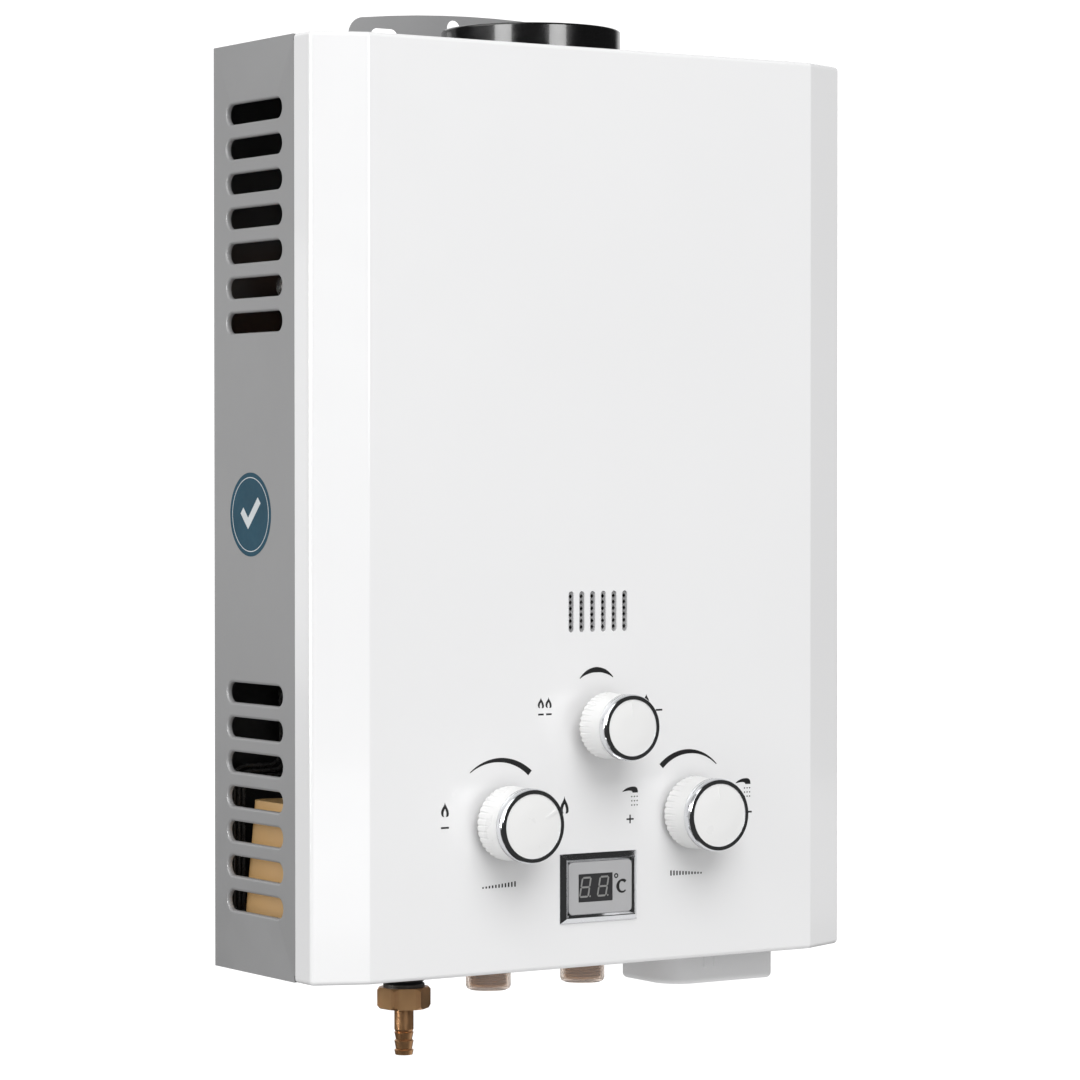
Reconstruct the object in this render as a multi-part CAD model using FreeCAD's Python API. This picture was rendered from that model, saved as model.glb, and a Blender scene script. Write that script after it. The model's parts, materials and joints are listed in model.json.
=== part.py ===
import FreeCAD, Part
import math
import os

# Wall-hung flue-type propane water heater.
# Millimetres. X runs to the right seen from the front, -Y points at the user, Z is up.
# Y = 0 is the wall. Heights are counted from the casing's lower edge and every piece is
# moved down at export, so that the origin is the middle of the two round hanger holes.

# Casing
case_width = 350.0
case_height = 505.5
case_depth = 121.0
sheet = 0.8
seam = 0.3
cover_flat_width = 292.0
cover_chamfer_depth = 12.25
cover_depth = 29.0
cover_top_depth = 13.0
cover_fold_radius = 2.4
shell_fold_radius = 3.0
tongue_length = 8.0
panel_flange = 12.0
cover_screw_spacing = 250.0
cover_screw_radius = 1.9

# Hanger tab, heights above the casing's top
hanger_width = 176.0
hanger_shoulder = 23.5
hanger_crown = 4.5
hanger_corner_radius = 10.0
hanger_hole_radius = 4.5
hanger_hole_spacing = 37.4
hanger_hole_rise = 20.7
hanger_slot_length = 18.2
hanger_slot_width = 9.0
hanger_slot_spacing = 129.6
hanger_slot_rise = 13.3

# Side vents
vent_length = 61.0
vent_height = 11.0
vent_pitch = 19.0
vent_count = 7
vent_from_wall = 47.5
vent_upper_height = 410.5
vent_lower_height = 95.0
vent_lip = 2.0
vent_roll = 1.4

# Sight grille
grille_slot_width = 3.4
grille_slot_height = 22.5
grille_pitch = 7.1
grille_count = 6
grille_height = 195.7
mesh_thickness = 0.5
mesh_margin = 4.0
mesh_hole = 2.2
mesh_rows = 6

# Knobs
knob_spacing = 124.0
lower_knob_height = 82.4
season_knob_height = 133.3
lower_knob_radius = 20.3
season_knob_radius = 18.3
lower_knob_length = 24.5
season_knob_length = 25.0
gas_knob_reach = 30.5
water_knob_reach = 28.5
season_knob_reach = 34.0
knob_wall = 1.8
knob_taper = 0.9
knob_ring_length = 6.0
knob_ring_wall = 2.0
knob_dome = 0.9
ring_round = 1.0
flute_count = 36
flute_radius = 0.8
flute_length = 14.0
gas_pointer_angle = 62.0
season_pointer_angle = 0.0
water_pointer_angle = 0.0
pointer_length = 8.0
pointer_width = 1.3
spindle_radius = 3.0
spindle_play = 0.05
spindle_depth = 16.0
spindle_hole_play = 4.0

# Display
display_width = 51.0
display_height = 38.2
display_centre_height = 43.9
display_proud = 3.2
bezel_slope = 2.6
bezel_rim = 2.0
bezel_neck = 7.0
window_corner = 2.6
panel_thickness = 1.2
lens_width = 24.0
lens_height = 17.0
lens_offset = -5.5
board_thickness = 1.6
led_depth = 6.0

# Flue, hood and heat exchanger
flue_radius = 50.5
flue_wall = 1.0
flue_rise = 14.8
flue_bead = 1.4
flue_foot_radius = 51.8
flue_from_wall = 53.0
chamber_side_room = 50.0
chamber_depth = 80.0
chamber_foot = 200.0
chamber_height = 152.0
copper = 1.0
fin_height = 44.0
fin_pitch = 12.5
fin_thickness = 1.6
fin_rim = 1.5
exchanger_tube_radius = 8.0
exchanger_tube_pitch = 26.0
tube_reach = 8.0
hood_play = 0.3
hood_skirt = 12.0
hood_plate = 1.2

# Burner
burner_foot = 128.0
blade_count = 16
blade_side_room = 3.4
blade_thickness = 9.0
blade_height = 52.0
blade_mouth = 16.0
burner_wall = 1.0
manifold_height = 135.0
manifold_thickness = 12.0
manifold_section = 16.0
manifold_end_room = 3.0
manifold_from_burner = 6.0
nozzle_radius = 3.0
electrode_radius = 3.5
electrode_length = 26.0
electrode_pin_radius = 0.9
electrode_spacing = 90.0
electrode_height = 190.0
bracket_width = 24.0
bracket_sheet = 1.5
bracket_foot = 138.0
bracket_top = 260.0

# Bottom fittings, all on one line seen from the side
fittings_from_wall = 50.5
gas_inlet_x = -82.5
gas_stub_radius = 11.5
gas_stub_bore = 7.0
stub_groove_count = 3
nut_top = -13.0
nut_height = 11.7
nut_flats = 26.0
nut_turn = 37.4
barb_radius = 5.35
barb_root_radius = 4.5
barb_bore = 3.2
barb_end = -50.7
barb_ridge_count = 3
barb_shank_step = 0.6
barb_ridge_pitch = 4.7
hot_x = -27.1
cold_x = 36.4
thread_radius = 10.48
nipple_bore = 7.5
nipple_end = -16.0
cap_wall = 1.8
cap_end = -18.3
pipe_radius = 7.0
pipe_wall = 1.0
pipe_bend = 16.0

# Valves
valve_depth = 60.0
valve_front = 30.0
gas_valve_width = 60.0
valve_foot = 52.0
valve_height = 60.0
valve_barrel_radius = 20.0
valve_neck_radius = 13.0
spindle_boss_radius = 9.0
diaphragm_radius = 30.0
diaphragm_thickness = 1.0
diaphragm_flange = 4.0
dome_radius = 22.0
dome_depth = 9.0
water_valve_x = 52.0
water_valve_width = 60.0
rod_radius = 2.5
collar_radius = 6.0
collar_thickness = 3.0
lever_drop = 15.0
lever_width = 7.0
lever_thickness = 1.0
lever_nose = 1.5
solenoid_radius = 12.0
solenoid_length = 18.0

# Igniter box behind the lower left vents
igniter_width = 28.0
igniter_depth = 60.0
igniter_height = 64.0
igniter_foot = 28.0
igniter_draft = 4.0
igniter_corner = 8.0
igniter_from_side = 11.0
igniter_from_wall = 11.0
igniter_tab = 14.0

# Leads from the igniter box, up behind it and on to the electrodes and the solenoid
lead_radius = 1.2
lead_spacing = 3.0
lead_bend = 7.5
lead_start_from_wall = 27.0
lead_drop = 14.0
lead_from_side = 10.0
lead_from_wall = 6.0
lead_turn_height = 104.0
lead_level = 160.0

# Battery box
battery_from_side = 58.5
cell_radius = 17.1
cell_length = 61.5
cell_play = 0.4
battery_wall = 1.6
battery_flange = 2.0
lid_width = 74.0
lid_depth = 50.0
lid_drop = 19.5
lid_left_radius = 18.0
lid_right_radius = 4.0
lid_floor_radius = 3.0
lid_wall = 1.8
lid_pin_radius = 1.2
lid_pin_play = 0.06
lid_ear_length = 4.0
lid_ear_spacing = 40.0
contact_thickness = 0.6
contact_rise = 3.2

V = FreeCAD.Vector
half_width = case_width / 2
inner_half = half_width - sheet
joggle = sheet + seam
front = -case_depth
cover_back = front + cover_depth
cover_inside = front + sheet
fittings_y = -fittings_from_wall
battery_x = half_width - battery_from_side
chamber_width = case_width - 2 * chamber_side_room
blade_pitch = (chamber_width - 2 * blade_side_room) / blade_count
hanger_hole_height = case_height + hanger_hole_rise
piece_names = []


def export(name, solids):
    """Moves a piece to the hanger's frame and writes its file."""
    shape = solids if hasattr(solids, "exportStep") else Part.makeCompound(solids)
    if len(shape.Solids) == 1:
        shape = shape.Solids[0]
    moved = shape.copy()
    moved.translate(V(0, 0, -hanger_hole_height))
    moved.exportStep("parts/" + name + ".step")
    piece_names.append(name)


def block(x0, x1, y0, y1, z0, z1):
    return Part.makeBox(x1 - x0, y1 - y0, z1 - z0, V(x0, y0, z0))


def round_bar(start, end, radius):
    """A cylinder from one point to another."""
    return Part.makeCylinder(radius, (end - start).Length, start, end - start)


def rounded_edges(points, radii, closed=False):
    """Straight runs joined by tangent arcs; radii holds one radius for each corner."""
    count = len(points)
    corners = range(count) if closed else range(1, count - 1)
    leave = dict((i, points[i]) for i in range(count))
    enter = dict((i, points[i]) for i in range(count))
    arcs = {}
    for i in corners:
        radius = radii[i] if isinstance(radii, (list, tuple)) else radii
        if radius <= 0:
            continue
        back = (points[i - 1] - points[i]).normalize()
        ahead = (points[(i + 1) % count] - points[i]).normalize()
        half = back.getAngle(ahead) / 2
        reach = radius / math.tan(half)
        middle = points[i] + (back + ahead).normalize() * (radius / math.sin(half) - radius)
        enter[i] = points[i] + back * reach
        leave[i] = points[i] + ahead * reach
        arcs[i] = Part.Arc(enter[i], middle, leave[i]).toShape()
    edges = []
    for i in range(count if closed else count - 1):
        if i in arcs:
            edges.append(arcs[i])
        after = (i + 1) % count
        if (enter[after] - leave[i]).Length > 1e-6:
            edges.append(Part.LineSegment(leave[i], enter[after]).toShape())
    return edges


def prism(points, radii, push):
    """A closed outline with rounded corners, pushed along a vector."""
    return Part.Face(Part.Wire(rounded_edges(points, radii, True))).extrude(push)


def offset_path(points, normal, distance):
    """The path moved sideways, its corners mitred."""
    ways = [(points[i + 1] - points[i]).normalize() for i in range(len(points) - 1)]
    sides = [normal.cross(way) for way in ways]
    moved = [points[0] + sides[0] * distance]
    for i in range(1, len(points) - 1):
        mitre = (sides[i - 1] + sides[i]) / (1 + sides[i - 1].dot(sides[i]))
        moved.append(points[i] + mitre * distance)
    moved.append(points[-1] + sides[-1] * distance)
    return moved


def bent_sheet(points, radii, normal, thickness, push):
    """A folded sheet: a path given a thickness to its left, pushed along a vector."""
    inner = offset_path(points, normal, thickness)
    inner_radii = [0]
    for i in range(1, len(points) - 1):
        turn = (points[i] - points[i - 1]).cross(points[i + 1] - points[i]).dot(normal)
        change = -thickness if turn > 0 else thickness
        inner_radii.append(max(0, radii[i] + change) if radii[i] > 0 else 0)
    inner_radii.append(0)
    outline = points + inner[::-1]
    return prism(outline, radii + inner_radii[::-1], push)


def long_hole(centre, along, across, length, width, push):
    """A slot with round ends, pushed along a vector."""
    radius = width / 2
    half = length / 2 - radius
    a = centre - along * half
    b = centre + along * half
    side = across * radius
    edges = [
        Part.LineSegment(a - side, b - side).toShape(),
        Part.Arc(b - side, b + along * radius, b + side).toShape(),
        Part.LineSegment(b + side, a + side).toShape(),
        Part.Arc(a + side, a - along * radius, a - side).toShape(),
    ]
    return Part.Face(Part.Wire(edges)).extrude(push)


def bent_tube(points, radius, bend):
    """A solid bar along straight runs with tangent bends."""
    spine = Part.Wire(rounded_edges(points, bend))
    start = Part.makeCircle(radius, points[0], points[1] - points[0])
    return spine.makePipe(Part.Face(Part.Wire([start])))


def turned(profile, axis_point, axis, radii=0):
    """A closed profile, its corners rounded where radii says so, turned about an axis."""
    face = Part.Face(Part.Wire(rounded_edges(profile, radii, True)))
    return face.revolve(axis_point, axis, 360)


X = V(1, 0, 0)
Y = V(0, 1, 0)
Z = V(0, 0, 1)


# Casing

def vent_centres():
    heights = []
    for middle in (vent_lower_height, vent_upper_height):
        for i in range(vent_count):
            heights.append(middle + (i - (vent_count - 1) / 2) * vent_pitch)
    return heights


def hanger_outline():
    top = case_height + hanger_shoulder
    left = V(-hanger_width / 2, 0, case_height - panel_flange)
    right = V(hanger_width / 2, 0, case_height - panel_flange)
    corner_left = V(left.x, 0, top - hanger_corner_radius)
    corner_right = V(right.x, 0, top - hanger_corner_radius)
    start = V(left.x + hanger_corner_radius, 0, top)
    end = V(right.x - hanger_corner_radius, 0, top)
    bulge = hanger_corner_radius * (1 - math.sqrt(0.5))
    left_middle = V(left.x + bulge, 0, top - bulge)
    right_middle = V(right.x - bulge, 0, top - bulge)
    return Part.Wire([
        Part.LineSegment(left, corner_left).toShape(),
        Part.Arc(corner_left, left_middle, start).toShape(),
        Part.Arc(start, V(0, 0, top + hanger_crown), end).toShape(),
        Part.Arc(end, right_middle, corner_right).toShape(),
        Part.LineSegment(corner_right, right).toShape(),
        Part.LineSegment(right, left).toShape(),
    ])


def rear_shell():
    """Back and sides folded from one sheet, with vents and the hanger tab."""
    step = cover_back + seam
    path = [
        V(-half_width + joggle, step - tongue_length, 0), V(-half_width + joggle, step, 0),
        V(-half_width, step, 0), V(-half_width, 0, 0),
        V(half_width, 0, 0), V(half_width, step, 0),
        V(half_width - joggle, step, 0), V(half_width - joggle, step - tongue_length, 0),
    ]
    radii = [0, 0, 0, shell_fold_radius, shell_fold_radius, 0, 0, 0]
    shell = bent_sheet(path[::-1], radii, Z, sheet, Z * case_height)
    shell = shell.fuse(Part.Face(hanger_outline()).extrude(V(0, -sheet, 0)))
    hole_height = case_height + hanger_hole_rise
    slot_height = case_height + hanger_slot_rise
    cuts = []
    lips = []
    for side in (-1, 1):
        hole_x = side * hanger_hole_spacing / 2
        cuts.append(round_bar(V(hole_x, 1, hole_height), V(hole_x, -5, hole_height), hanger_hole_radius))
        slot_centre = V(side * hanger_slot_spacing / 2, 1, slot_height)
        cuts.append(long_hole(slot_centre, X, Z, hanger_slot_length, hanger_slot_width, V(0, -5, 0)))
        for height in vent_centres():
            outside = V(side * (half_width + 1), -vent_from_wall, height)
            inside = V(side * (inner_half + sheet / 2), -vent_from_wall, height)
            cut_push = V(-side * (sheet + vent_lip + 3), 0, 0)
            cuts.append(long_hole(outside, Y, Z, vent_length, vent_height, cut_push))
            lips.append(long_hole(inside, Y, Z, vent_length + 2 * sheet, vent_height + 2 * sheet,
                                  V(-side * (vent_lip + sheet / 2), 0, 0)))
    margin = joggle + cover_fold_radius
    for low, high in ((-1, margin), (case_height - margin, case_height + 1)):
        cuts.append(block(-half_width - 1, half_width + 1, step - tongue_length - 1, step + sheet, low, high))
    shell = shell.fuse(lips).cut(cuts).removeSplitter()
    return shell.makeFillet(vent_roll, vent_edges(shell))


def vent_edges(shell):
    """The vents' outer edges, where the sheet is rolled inwards."""
    edges = []
    reach = vent_length / 2 + 1
    for edge in shell.Edges:
        box = edge.BoundBox
        outside = abs(abs(box.XMin) - half_width) < 1e-4 and box.XLength < 1e-4
        if outside and box.YMax < reach - vent_from_wall and box.YMin > -reach - vent_from_wall:
            edges.append(edge)
    return edges


def top_panel():
    """Closes the top, with the flue hole; its front tongue lies under the cover."""
    step = front + cover_top_depth + seam
    back = -sheet - seam
    path = [
        V(0, step - tongue_length, case_height - joggle), V(0, step, case_height - joggle),
        V(0, step, case_height), V(0, back, case_height), V(0, back, case_height - panel_flange),
    ]
    width = 2 * (inner_half - seam)
    panel = bent_sheet(path, [0, 0, 0, 1.5, 0], X * -1, sheet, X * width)
    panel.translate(V(-width / 2, 0, 0))
    hole_top = V(0, -flue_from_wall, case_height + 1)
    hole = round_bar(hole_top, hole_top - Z * 5, flue_radius - flue_wall)
    return panel.cut([hole] + corner_cuts(width, back, step) + front_cuts(width, step))


def corner_cuts(width, back, step):
    """Cuts that free a panel's corners from the shell's folds and its stepped front edge."""
    notch = shell_fold_radius
    tongue_half = half_width - joggle - sheet - seam
    cuts = []
    for side in (-1, 1):
        x0, x1 = sorted((side * (width / 2 - notch), side * (width / 2 + 1)))
        cuts.append(block(x0, x1, back - notch, back + 1, -1, case_height + 1))
        x0, x1 = sorted((side * tongue_half, side * (width / 2 + 1)))
        cuts.append(block(x0, x1, front, step + sheet + seam, -1, case_height + 1))
    return cuts


def front_cuts(width, step):
    """Narrows the top panel where the cover's sides and angled bands come in."""
    side_half = inner_half - cover_fold_radius - seam
    cuts = []
    for side in (-1, 1):
        x0, x1 = sorted((side * side_half, side * (width / 2 + 1)))
        cuts.append(block(x0, x1, front, cover_back + sheet + 2 * seam, -1, case_height + 1))
        x0, x1 = sorted((side * cover_flat_width / 2, side * (width / 2 + 1)))
        cuts.append(block(x0, x1, front, step - 0.01, -1, case_height + 1))
    return cuts


def bottom_plate():
    """Closes the bottom, with holes for the fittings and the battery box."""
    step = cover_back + seam
    back = -sheet - seam
    path = [
        V(0, step - tongue_length, joggle), V(0, step, joggle),
        V(0, step, 0), V(0, back, 0), V(0, back, panel_flange),
    ]
    width = 2 * (inner_half - seam)
    panel = bent_sheet(path, [0, 0, 0, 1.5, 0], X, sheet, X * width)
    panel.translate(V(-width / 2, 0, 0))
    cuts = corner_cuts(width, back, step)
    holes = ((gas_inlet_x, gas_stub_radius), (hot_x, thread_radius), (cold_x, thread_radius))
    for x, radius in holes:
        cuts.append(round_bar(V(x, fittings_y, -1), V(x, fittings_y, 5), radius + seam))
    reach_x = 2 * cell_radius + 2 * cell_play + battery_wall + seam
    reach_y = cell_radius + cell_play + battery_wall + seam
    cuts.append(block(battery_x - reach_x, battery_x + reach_x, fittings_y - reach_y,
                      fittings_y + reach_y, -1, 5))
    for side in (-1, 1):
        x = side * cover_screw_spacing / 2
        y = step - tongue_length / 2
        cuts.append(round_bar(V(x, y, -1), V(x, y, 5), cover_screw_radius + 0.05))
    return panel.cut(cuts)


def cover_path(y_back):
    flat = cover_flat_width / 2
    shoulder = front + cover_chamfer_depth
    return [
        V(-half_width, y_back, 0), V(-half_width, shoulder, 0), V(-flat, front, 0),
        V(flat, front, 0), V(half_width, shoulder, 0), V(half_width, y_back, 0),
    ]


def rim_edges(solid, height, y_back):
    """The edges round one end of the tray, apart from the open back's."""
    edges = []
    for edge in solid.Edges:
        ends = [v.Point for v in edge.Vertexes]
        level = all(abs(p.z - height) < 1e-4 for p in ends)
        rear = all(abs(p.y - y_back) < 1e-4 for p in ends)
        if level and not rear:
            edges.append(edge)
    return edges


def tray(path, low, high, fold_radius, y_back):
    radii = [0] + [fold_radius] * 4 + [0]
    raised = [p + Z * low for p in path]
    solid = prism(raised, radii, Z * (high - low))
    rims = rim_edges(solid, low, y_back) + rim_edges(solid, high, y_back)
    return solid.makeFillet(fold_radius, rims)


def front_cover():
    """White folded tray with angled side bands."""
    outer = tray(cover_path(cover_back), 0, case_height, cover_fold_radius, cover_back)
    open_back = cover_back + 5
    inner_path = offset_path(cover_path(open_back), Z, sheet)
    inner = tray(inner_path, sheet, case_height - sheet, cover_fold_radius - sheet, open_back)
    side_half = inner_half - cover_fold_radius
    cuts = [inner, block(-side_half, side_half, front + cover_top_depth, cover_back + 1,
                         case_height - sheet - 1, case_height + 1)]
    for x, z in knob_places():
        cuts.append(round_bar(V(x, front - 1, z), V(x, front + 5, z), spindle_radius + spindle_hole_play))
    for x in grille_centres():
        cuts.append(long_hole(V(x, front - 1, grille_height), Z, X, grille_slot_height,
                              grille_slot_width, V(0, 5, 0)))
    neck_x = display_width / 2 - bezel_slope - bezel_rim / 2 + seam
    neck_z = display_height / 2 - bezel_slope - bezel_rim / 2 + seam
    cuts.append(block(-neck_x, neck_x, front - 1, front + 5, display_centre_height - neck_z,
                      display_centre_height + neck_z))
    for side in (-1, 1):
        x = side * cover_screw_spacing / 2
        y = cover_back + seam - tongue_length / 2
        cuts.append(round_bar(V(x, y, -1), V(x, y, sheet + 1), cover_screw_radius + 0.05))
    return outer.cut(cuts)


def cover_screws():
    screws = []
    for side in (-1, 1):
        foot = V(side * cover_screw_spacing / 2, cover_back + seam - tongue_length / 2, 0)
        shank = round_bar(foot, foot + Z * 8, cover_screw_radius)
        head = Part.makeCone(cover_screw_radius * 1.3, cover_screw_radius * 2, 1.8, foot - Z * 1.8)
        screws.append(shank.fuse(head))
    return screws


def knob_places():
    half = knob_spacing / 2
    return [(-half, lower_knob_height), (0, season_knob_height), (half, lower_knob_height)]


def grille_centres():
    return [(i - (grille_count - 1) / 2) * grille_pitch for i in range(grille_count)]


def grille_mesh():
    """A flat mesh behind the six slots, with diamond openings in each."""
    half_x = (grille_count - 1) / 2 * grille_pitch + grille_slot_width / 2 + mesh_margin
    half_z = grille_slot_height / 2 + mesh_margin
    back = cover_inside + mesh_thickness
    mesh = block(-half_x, half_x, cover_inside, back, grille_height - half_z, grille_height + half_z)
    cuts = []
    pitch = (grille_slot_height - mesh_hole) / mesh_rows
    for x in grille_centres():
        for row in range(mesh_rows):
            z = grille_height + (row - (mesh_rows - 1) / 2) * pitch
            reach = mesh_hole / 2
            corners = [V(x - reach, back + 1, z), V(x, back + 1, z - reach * 1.4),
                       V(x + reach, back + 1, z), V(x, back + 1, z + reach * 1.4)]
            cuts.append(prism(corners, 0, V(0, -3, 0)))
    return mesh.cut(cuts)


# Knobs

def knob_body(x, z, radius, length, reach, pointer_angle):
    """Fluted skirt with a hub; the closed front carries a pointer rib."""
    tip = front - reach
    base = tip + length
    ring_back = tip + knob_ring_length
    neck = radius - knob_ring_wall
    shoulder = radius - knob_taper
    hub = spindle_radius + spindle_play + 2.5
    bore = spindle_radius + spindle_play
    floor = tip + 4.0
    profile = [
        V(x + bore, base, z), V(x + hub, base, z), V(x + hub, floor + knob_wall, z),
        V(x + radius - knob_wall, floor + knob_wall + 2, z), V(x + radius - knob_wall, base, z),
        V(x + radius, base, z), V(x + shoulder, ring_back + 0.2, z),
        V(x + neck, ring_back + 0.2, z), V(x + neck, tip + knob_dome * 0.5, z),
        V(x + neck * 0.5, tip - knob_dome * 0.4, z), V(x, tip - knob_dome * 0.4, z), V(x, floor, z),
        V(x + bore, floor, z),
    ]
    radii = [0, 0, 0, 0, 0, 0, 0.6, 0, 0.8, 60.0, 0, 0, 0]
    body = turned(profile, V(x, 0, z), Y, radii)
    flutes = []
    for i in range(flute_count):
        angle = 2 * math.pi * i / flute_count
        out = V(math.cos(angle), 0, math.sin(angle)) * (radius + flute_radius * 0.3)
        start = V(x, base + 1, z) + out
        flutes.append(round_bar(start, start - Y * (flute_length + 1), flute_radius))
    body = body.cut(flutes)
    start = neck - pointer_length - 1.5
    rib = block(-pointer_width / 2, pointer_width / 2, tip - knob_dome * 0.5, tip + 1.2, start,
                start + pointer_length)
    rib.rotate(V(0, 0, 0), Y, pointer_angle)
    rib.translate(V(x, 0, z))
    return body.fuse(rib)


def knob_ring(x, z, radius, reach):
    tip = front - reach
    ring_back = tip + knob_ring_length
    inner = radius - knob_ring_wall + 0.05
    profile = [
        V(x + inner, tip + 0.3, z), V(x + radius - knob_ring_wall / 2, tip - 0.3, z), V(x + radius, tip + 0.4, z),
        V(x + radius, ring_back, z), V(x + inner, ring_back, z),
    ]
    return turned(profile, V(x, 0, z), Y, [0, ring_round * 1.5, ring_round, 0.5, 0])


def spindle(x, z, reach, seat):
    """Round shaft from inside the knob's hub back into its valve."""
    return round_bar(V(x, front - reach + 4.3, z), V(x, seat + spindle_depth, z), spindle_radius)


def spindle_hole(x, z, seat):
    return round_bar(V(x, seat - 2, z), V(x, seat + spindle_depth + 1, z), spindle_radius + spindle_play)


# Display

def display_bezel():
    """Chrome frame with sloped sides and a neck through the cover."""
    half_x = display_width / 2
    half_z = display_height / 2
    tip = front - display_proud
    z = display_centre_height

    def outline(x_reach, z_reach, y):
        return Part.makePolygon([V(-x_reach, y, z - z_reach), V(x_reach, y, z - z_reach),
                                 V(x_reach, y, z + z_reach), V(-x_reach, y, z + z_reach),
                                 V(-x_reach, y, z - z_reach)])

    body = Part.makeLoft([outline(half_x, half_z, front),
                          outline(half_x - bezel_slope, half_z - bezel_slope, tip)], True)
    neck_x = half_x - bezel_slope - bezel_rim / 2
    neck_z = half_z - bezel_slope - bezel_rim / 2
    body = body.fuse(block(-neck_x, neck_x, front, front + bezel_neck, z - neck_z, z + neck_z))
    return body.cut(window_prism(0, tip - 1, front + bezel_neck + 1))


def window_prism(inset, y0, y1):
    """The bezel's opening with its rounded corners, between two depths."""
    half_x = display_width / 2 - bezel_slope - bezel_rim - inset
    half_z = display_height / 2 - bezel_slope - bezel_rim - inset
    z = display_centre_height
    corners = [V(-half_x, y0, z - half_z), V(half_x, y0, z - half_z), V(half_x, y0, z + half_z),
               V(-half_x, y0, z + half_z)]
    return prism(corners, window_corner - inset, Y * (y1 - y0))


def display_pieces():
    z = display_centre_height
    face = front - display_proud + 1.0
    panel = window_prism(0.1, face, face + panel_thickness)
    lens_x0 = lens_offset - lens_width / 2
    lens_x1 = lens_offset + lens_width / 2
    window = block(lens_x0, lens_x1, face - 1, face + panel_thickness + 1, z - lens_height / 2,
                   z + lens_height / 2)
    panel = panel.cut(window)
    play = 0.05
    lens = block(lens_x0 + play, lens_x1 - play, face + 0.2, face + panel_thickness, z - lens_height / 2 + play,
                 z + lens_height / 2 - play)
    led_front = face + panel_thickness
    board = block(lens_x0 + 1, lens_x1 - 1, led_front, led_front + led_depth, z - lens_height / 2 + 1,
                  z + lens_height / 2 - 1)
    board = board.fuse(window_prism(0.1, led_front + led_depth, led_front + led_depth + board_thickness))
    return panel, lens, board


# Flue and heat exchanger

def flue_collar():
    top = case_height + flue_rise
    r = flue_radius
    inner = r - flue_wall
    foot = case_height
    y = -flue_from_wall
    profile = [
        V(inner, y, foot), V(flue_foot_radius, y, foot), V(flue_foot_radius, y, foot + flue_wall),
        V(r, y, foot + flue_wall), V(r, y, top), V(r - 2 * flue_bead, y, top),
        V(r - 2 * flue_bead, y, top - 1.2 * flue_bead), V(inner, y, top - 2 * flue_bead),
    ]
    bend = flue_bead * 0.9
    return turned(profile, V(0, y, 0), Z, [0, flue_wall / 2, 0, 0, bend, bend, 0.4, 1.0])


def chamber_ring(low, high, wall):
    """Open-ended box of the heat exchanger's plan."""
    half_x = chamber_width / 2
    half_y = chamber_depth / 2
    middle = -flue_from_wall
    outer = block(-half_x, half_x, middle - half_y, middle + half_y, low, high)
    inner = block(-half_x + wall, half_x - wall, middle - half_y + wall, middle + half_y - wall, low - 1, high + 1)
    return outer.cut(inner)


def flared_block(low_half, high_half, z0, z1):
    """A block with sloping flat sides between two rectangles, each given by its half sizes."""
    middle = -flue_from_wall

    def corners(half, z):
        return [V(-half[0], middle - half[1], z), V(half[0], middle - half[1], z),
                V(half[0], middle + half[1], z), V(-half[0], middle + half[1], z)]

    low = corners(low_half, z0)
    high = corners(high_half, z1)
    loops = [low, high]
    for i in range(4):
        after = (i + 1) % 4
        loops.append([low[i], low[after], high[after], high[i]])
    faces = [Part.Face(Part.makePolygon(loop + loop[:1])) for loop in loops]
    solid = Part.makeSolid(Part.makeShell(faces))
    if solid.Volume < 0:
        solid.reverse()
    return solid


def draft_hood():
    """Sheet hood: a skirt on the exchanger, four sloping walls, a square top and the flue spigot."""
    low = chamber_foot + chamber_height + fin_height
    skirt = low + hood_skirt
    neck = case_height - sheet - hood_play - copper
    top = case_height + flue_rise / 2
    middle = -flue_from_wall
    throat = flue_radius - flue_wall - hood_play
    half_x = chamber_width / 2
    half_y = chamber_depth / 2
    wall = hood_plate
    outer = block(-half_x, half_x, middle - half_y, middle + half_y, low, skirt)
    inner = block(-half_x + wall, half_x - wall, middle - half_y + wall, middle + half_y - wall, low - 1, skirt)
    crown = throat + wall
    slope = flared_block((half_x, half_y), (crown, crown), skirt, neck)
    hollow = flared_block((half_x - wall, half_y - wall), (throat, throat), skirt, neck - wall)
    spigot = round_bar(V(0, middle, neck - wall), V(0, middle, top), throat)
    bore = round_bar(V(0, middle, neck - 2 * wall), V(0, middle, top + 1), throat - copper)
    return outer.fuse([slope, spigot]).cut([inner.fuse(hollow), bore])


def tube_rows():
    middle = -flue_from_wall
    return [middle - exchanger_tube_pitch, middle, middle + exchanger_tube_pitch]


def tube_height():
    return chamber_foot + chamber_height + fin_height / 2


def exchanger_fins():
    """Fin plates in a frame, with the tubes' holes through all of them."""
    low = chamber_foot + chamber_height
    high = low + fin_height
    half_x = chamber_width / 2
    half_y = chamber_depth / 2
    middle = -flue_from_wall
    pack = block(-half_x, half_x, middle - half_y, middle + half_y, low, high)
    cuts = []
    count = round((chamber_width - 2 * fin_rim) / fin_pitch)
    pitch = (chamber_width - 2 * fin_rim + fin_thickness) / count
    for i in range(count):
        x = (i - (count - 1) / 2) * pitch
        half_gap = (pitch - fin_thickness) / 2
        cuts.append(block(x - half_gap, x + half_gap, middle - half_y + fin_rim, middle + half_y - fin_rim,
                          low - 1, high + 1))
    for y in tube_rows():
        cuts.append(round_bar(V(-half_x - 1, y, tube_height()), V(half_x + 1, y, tube_height()),
                              exchanger_tube_radius + 0.05))
    return pack.cut(cuts)


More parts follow.
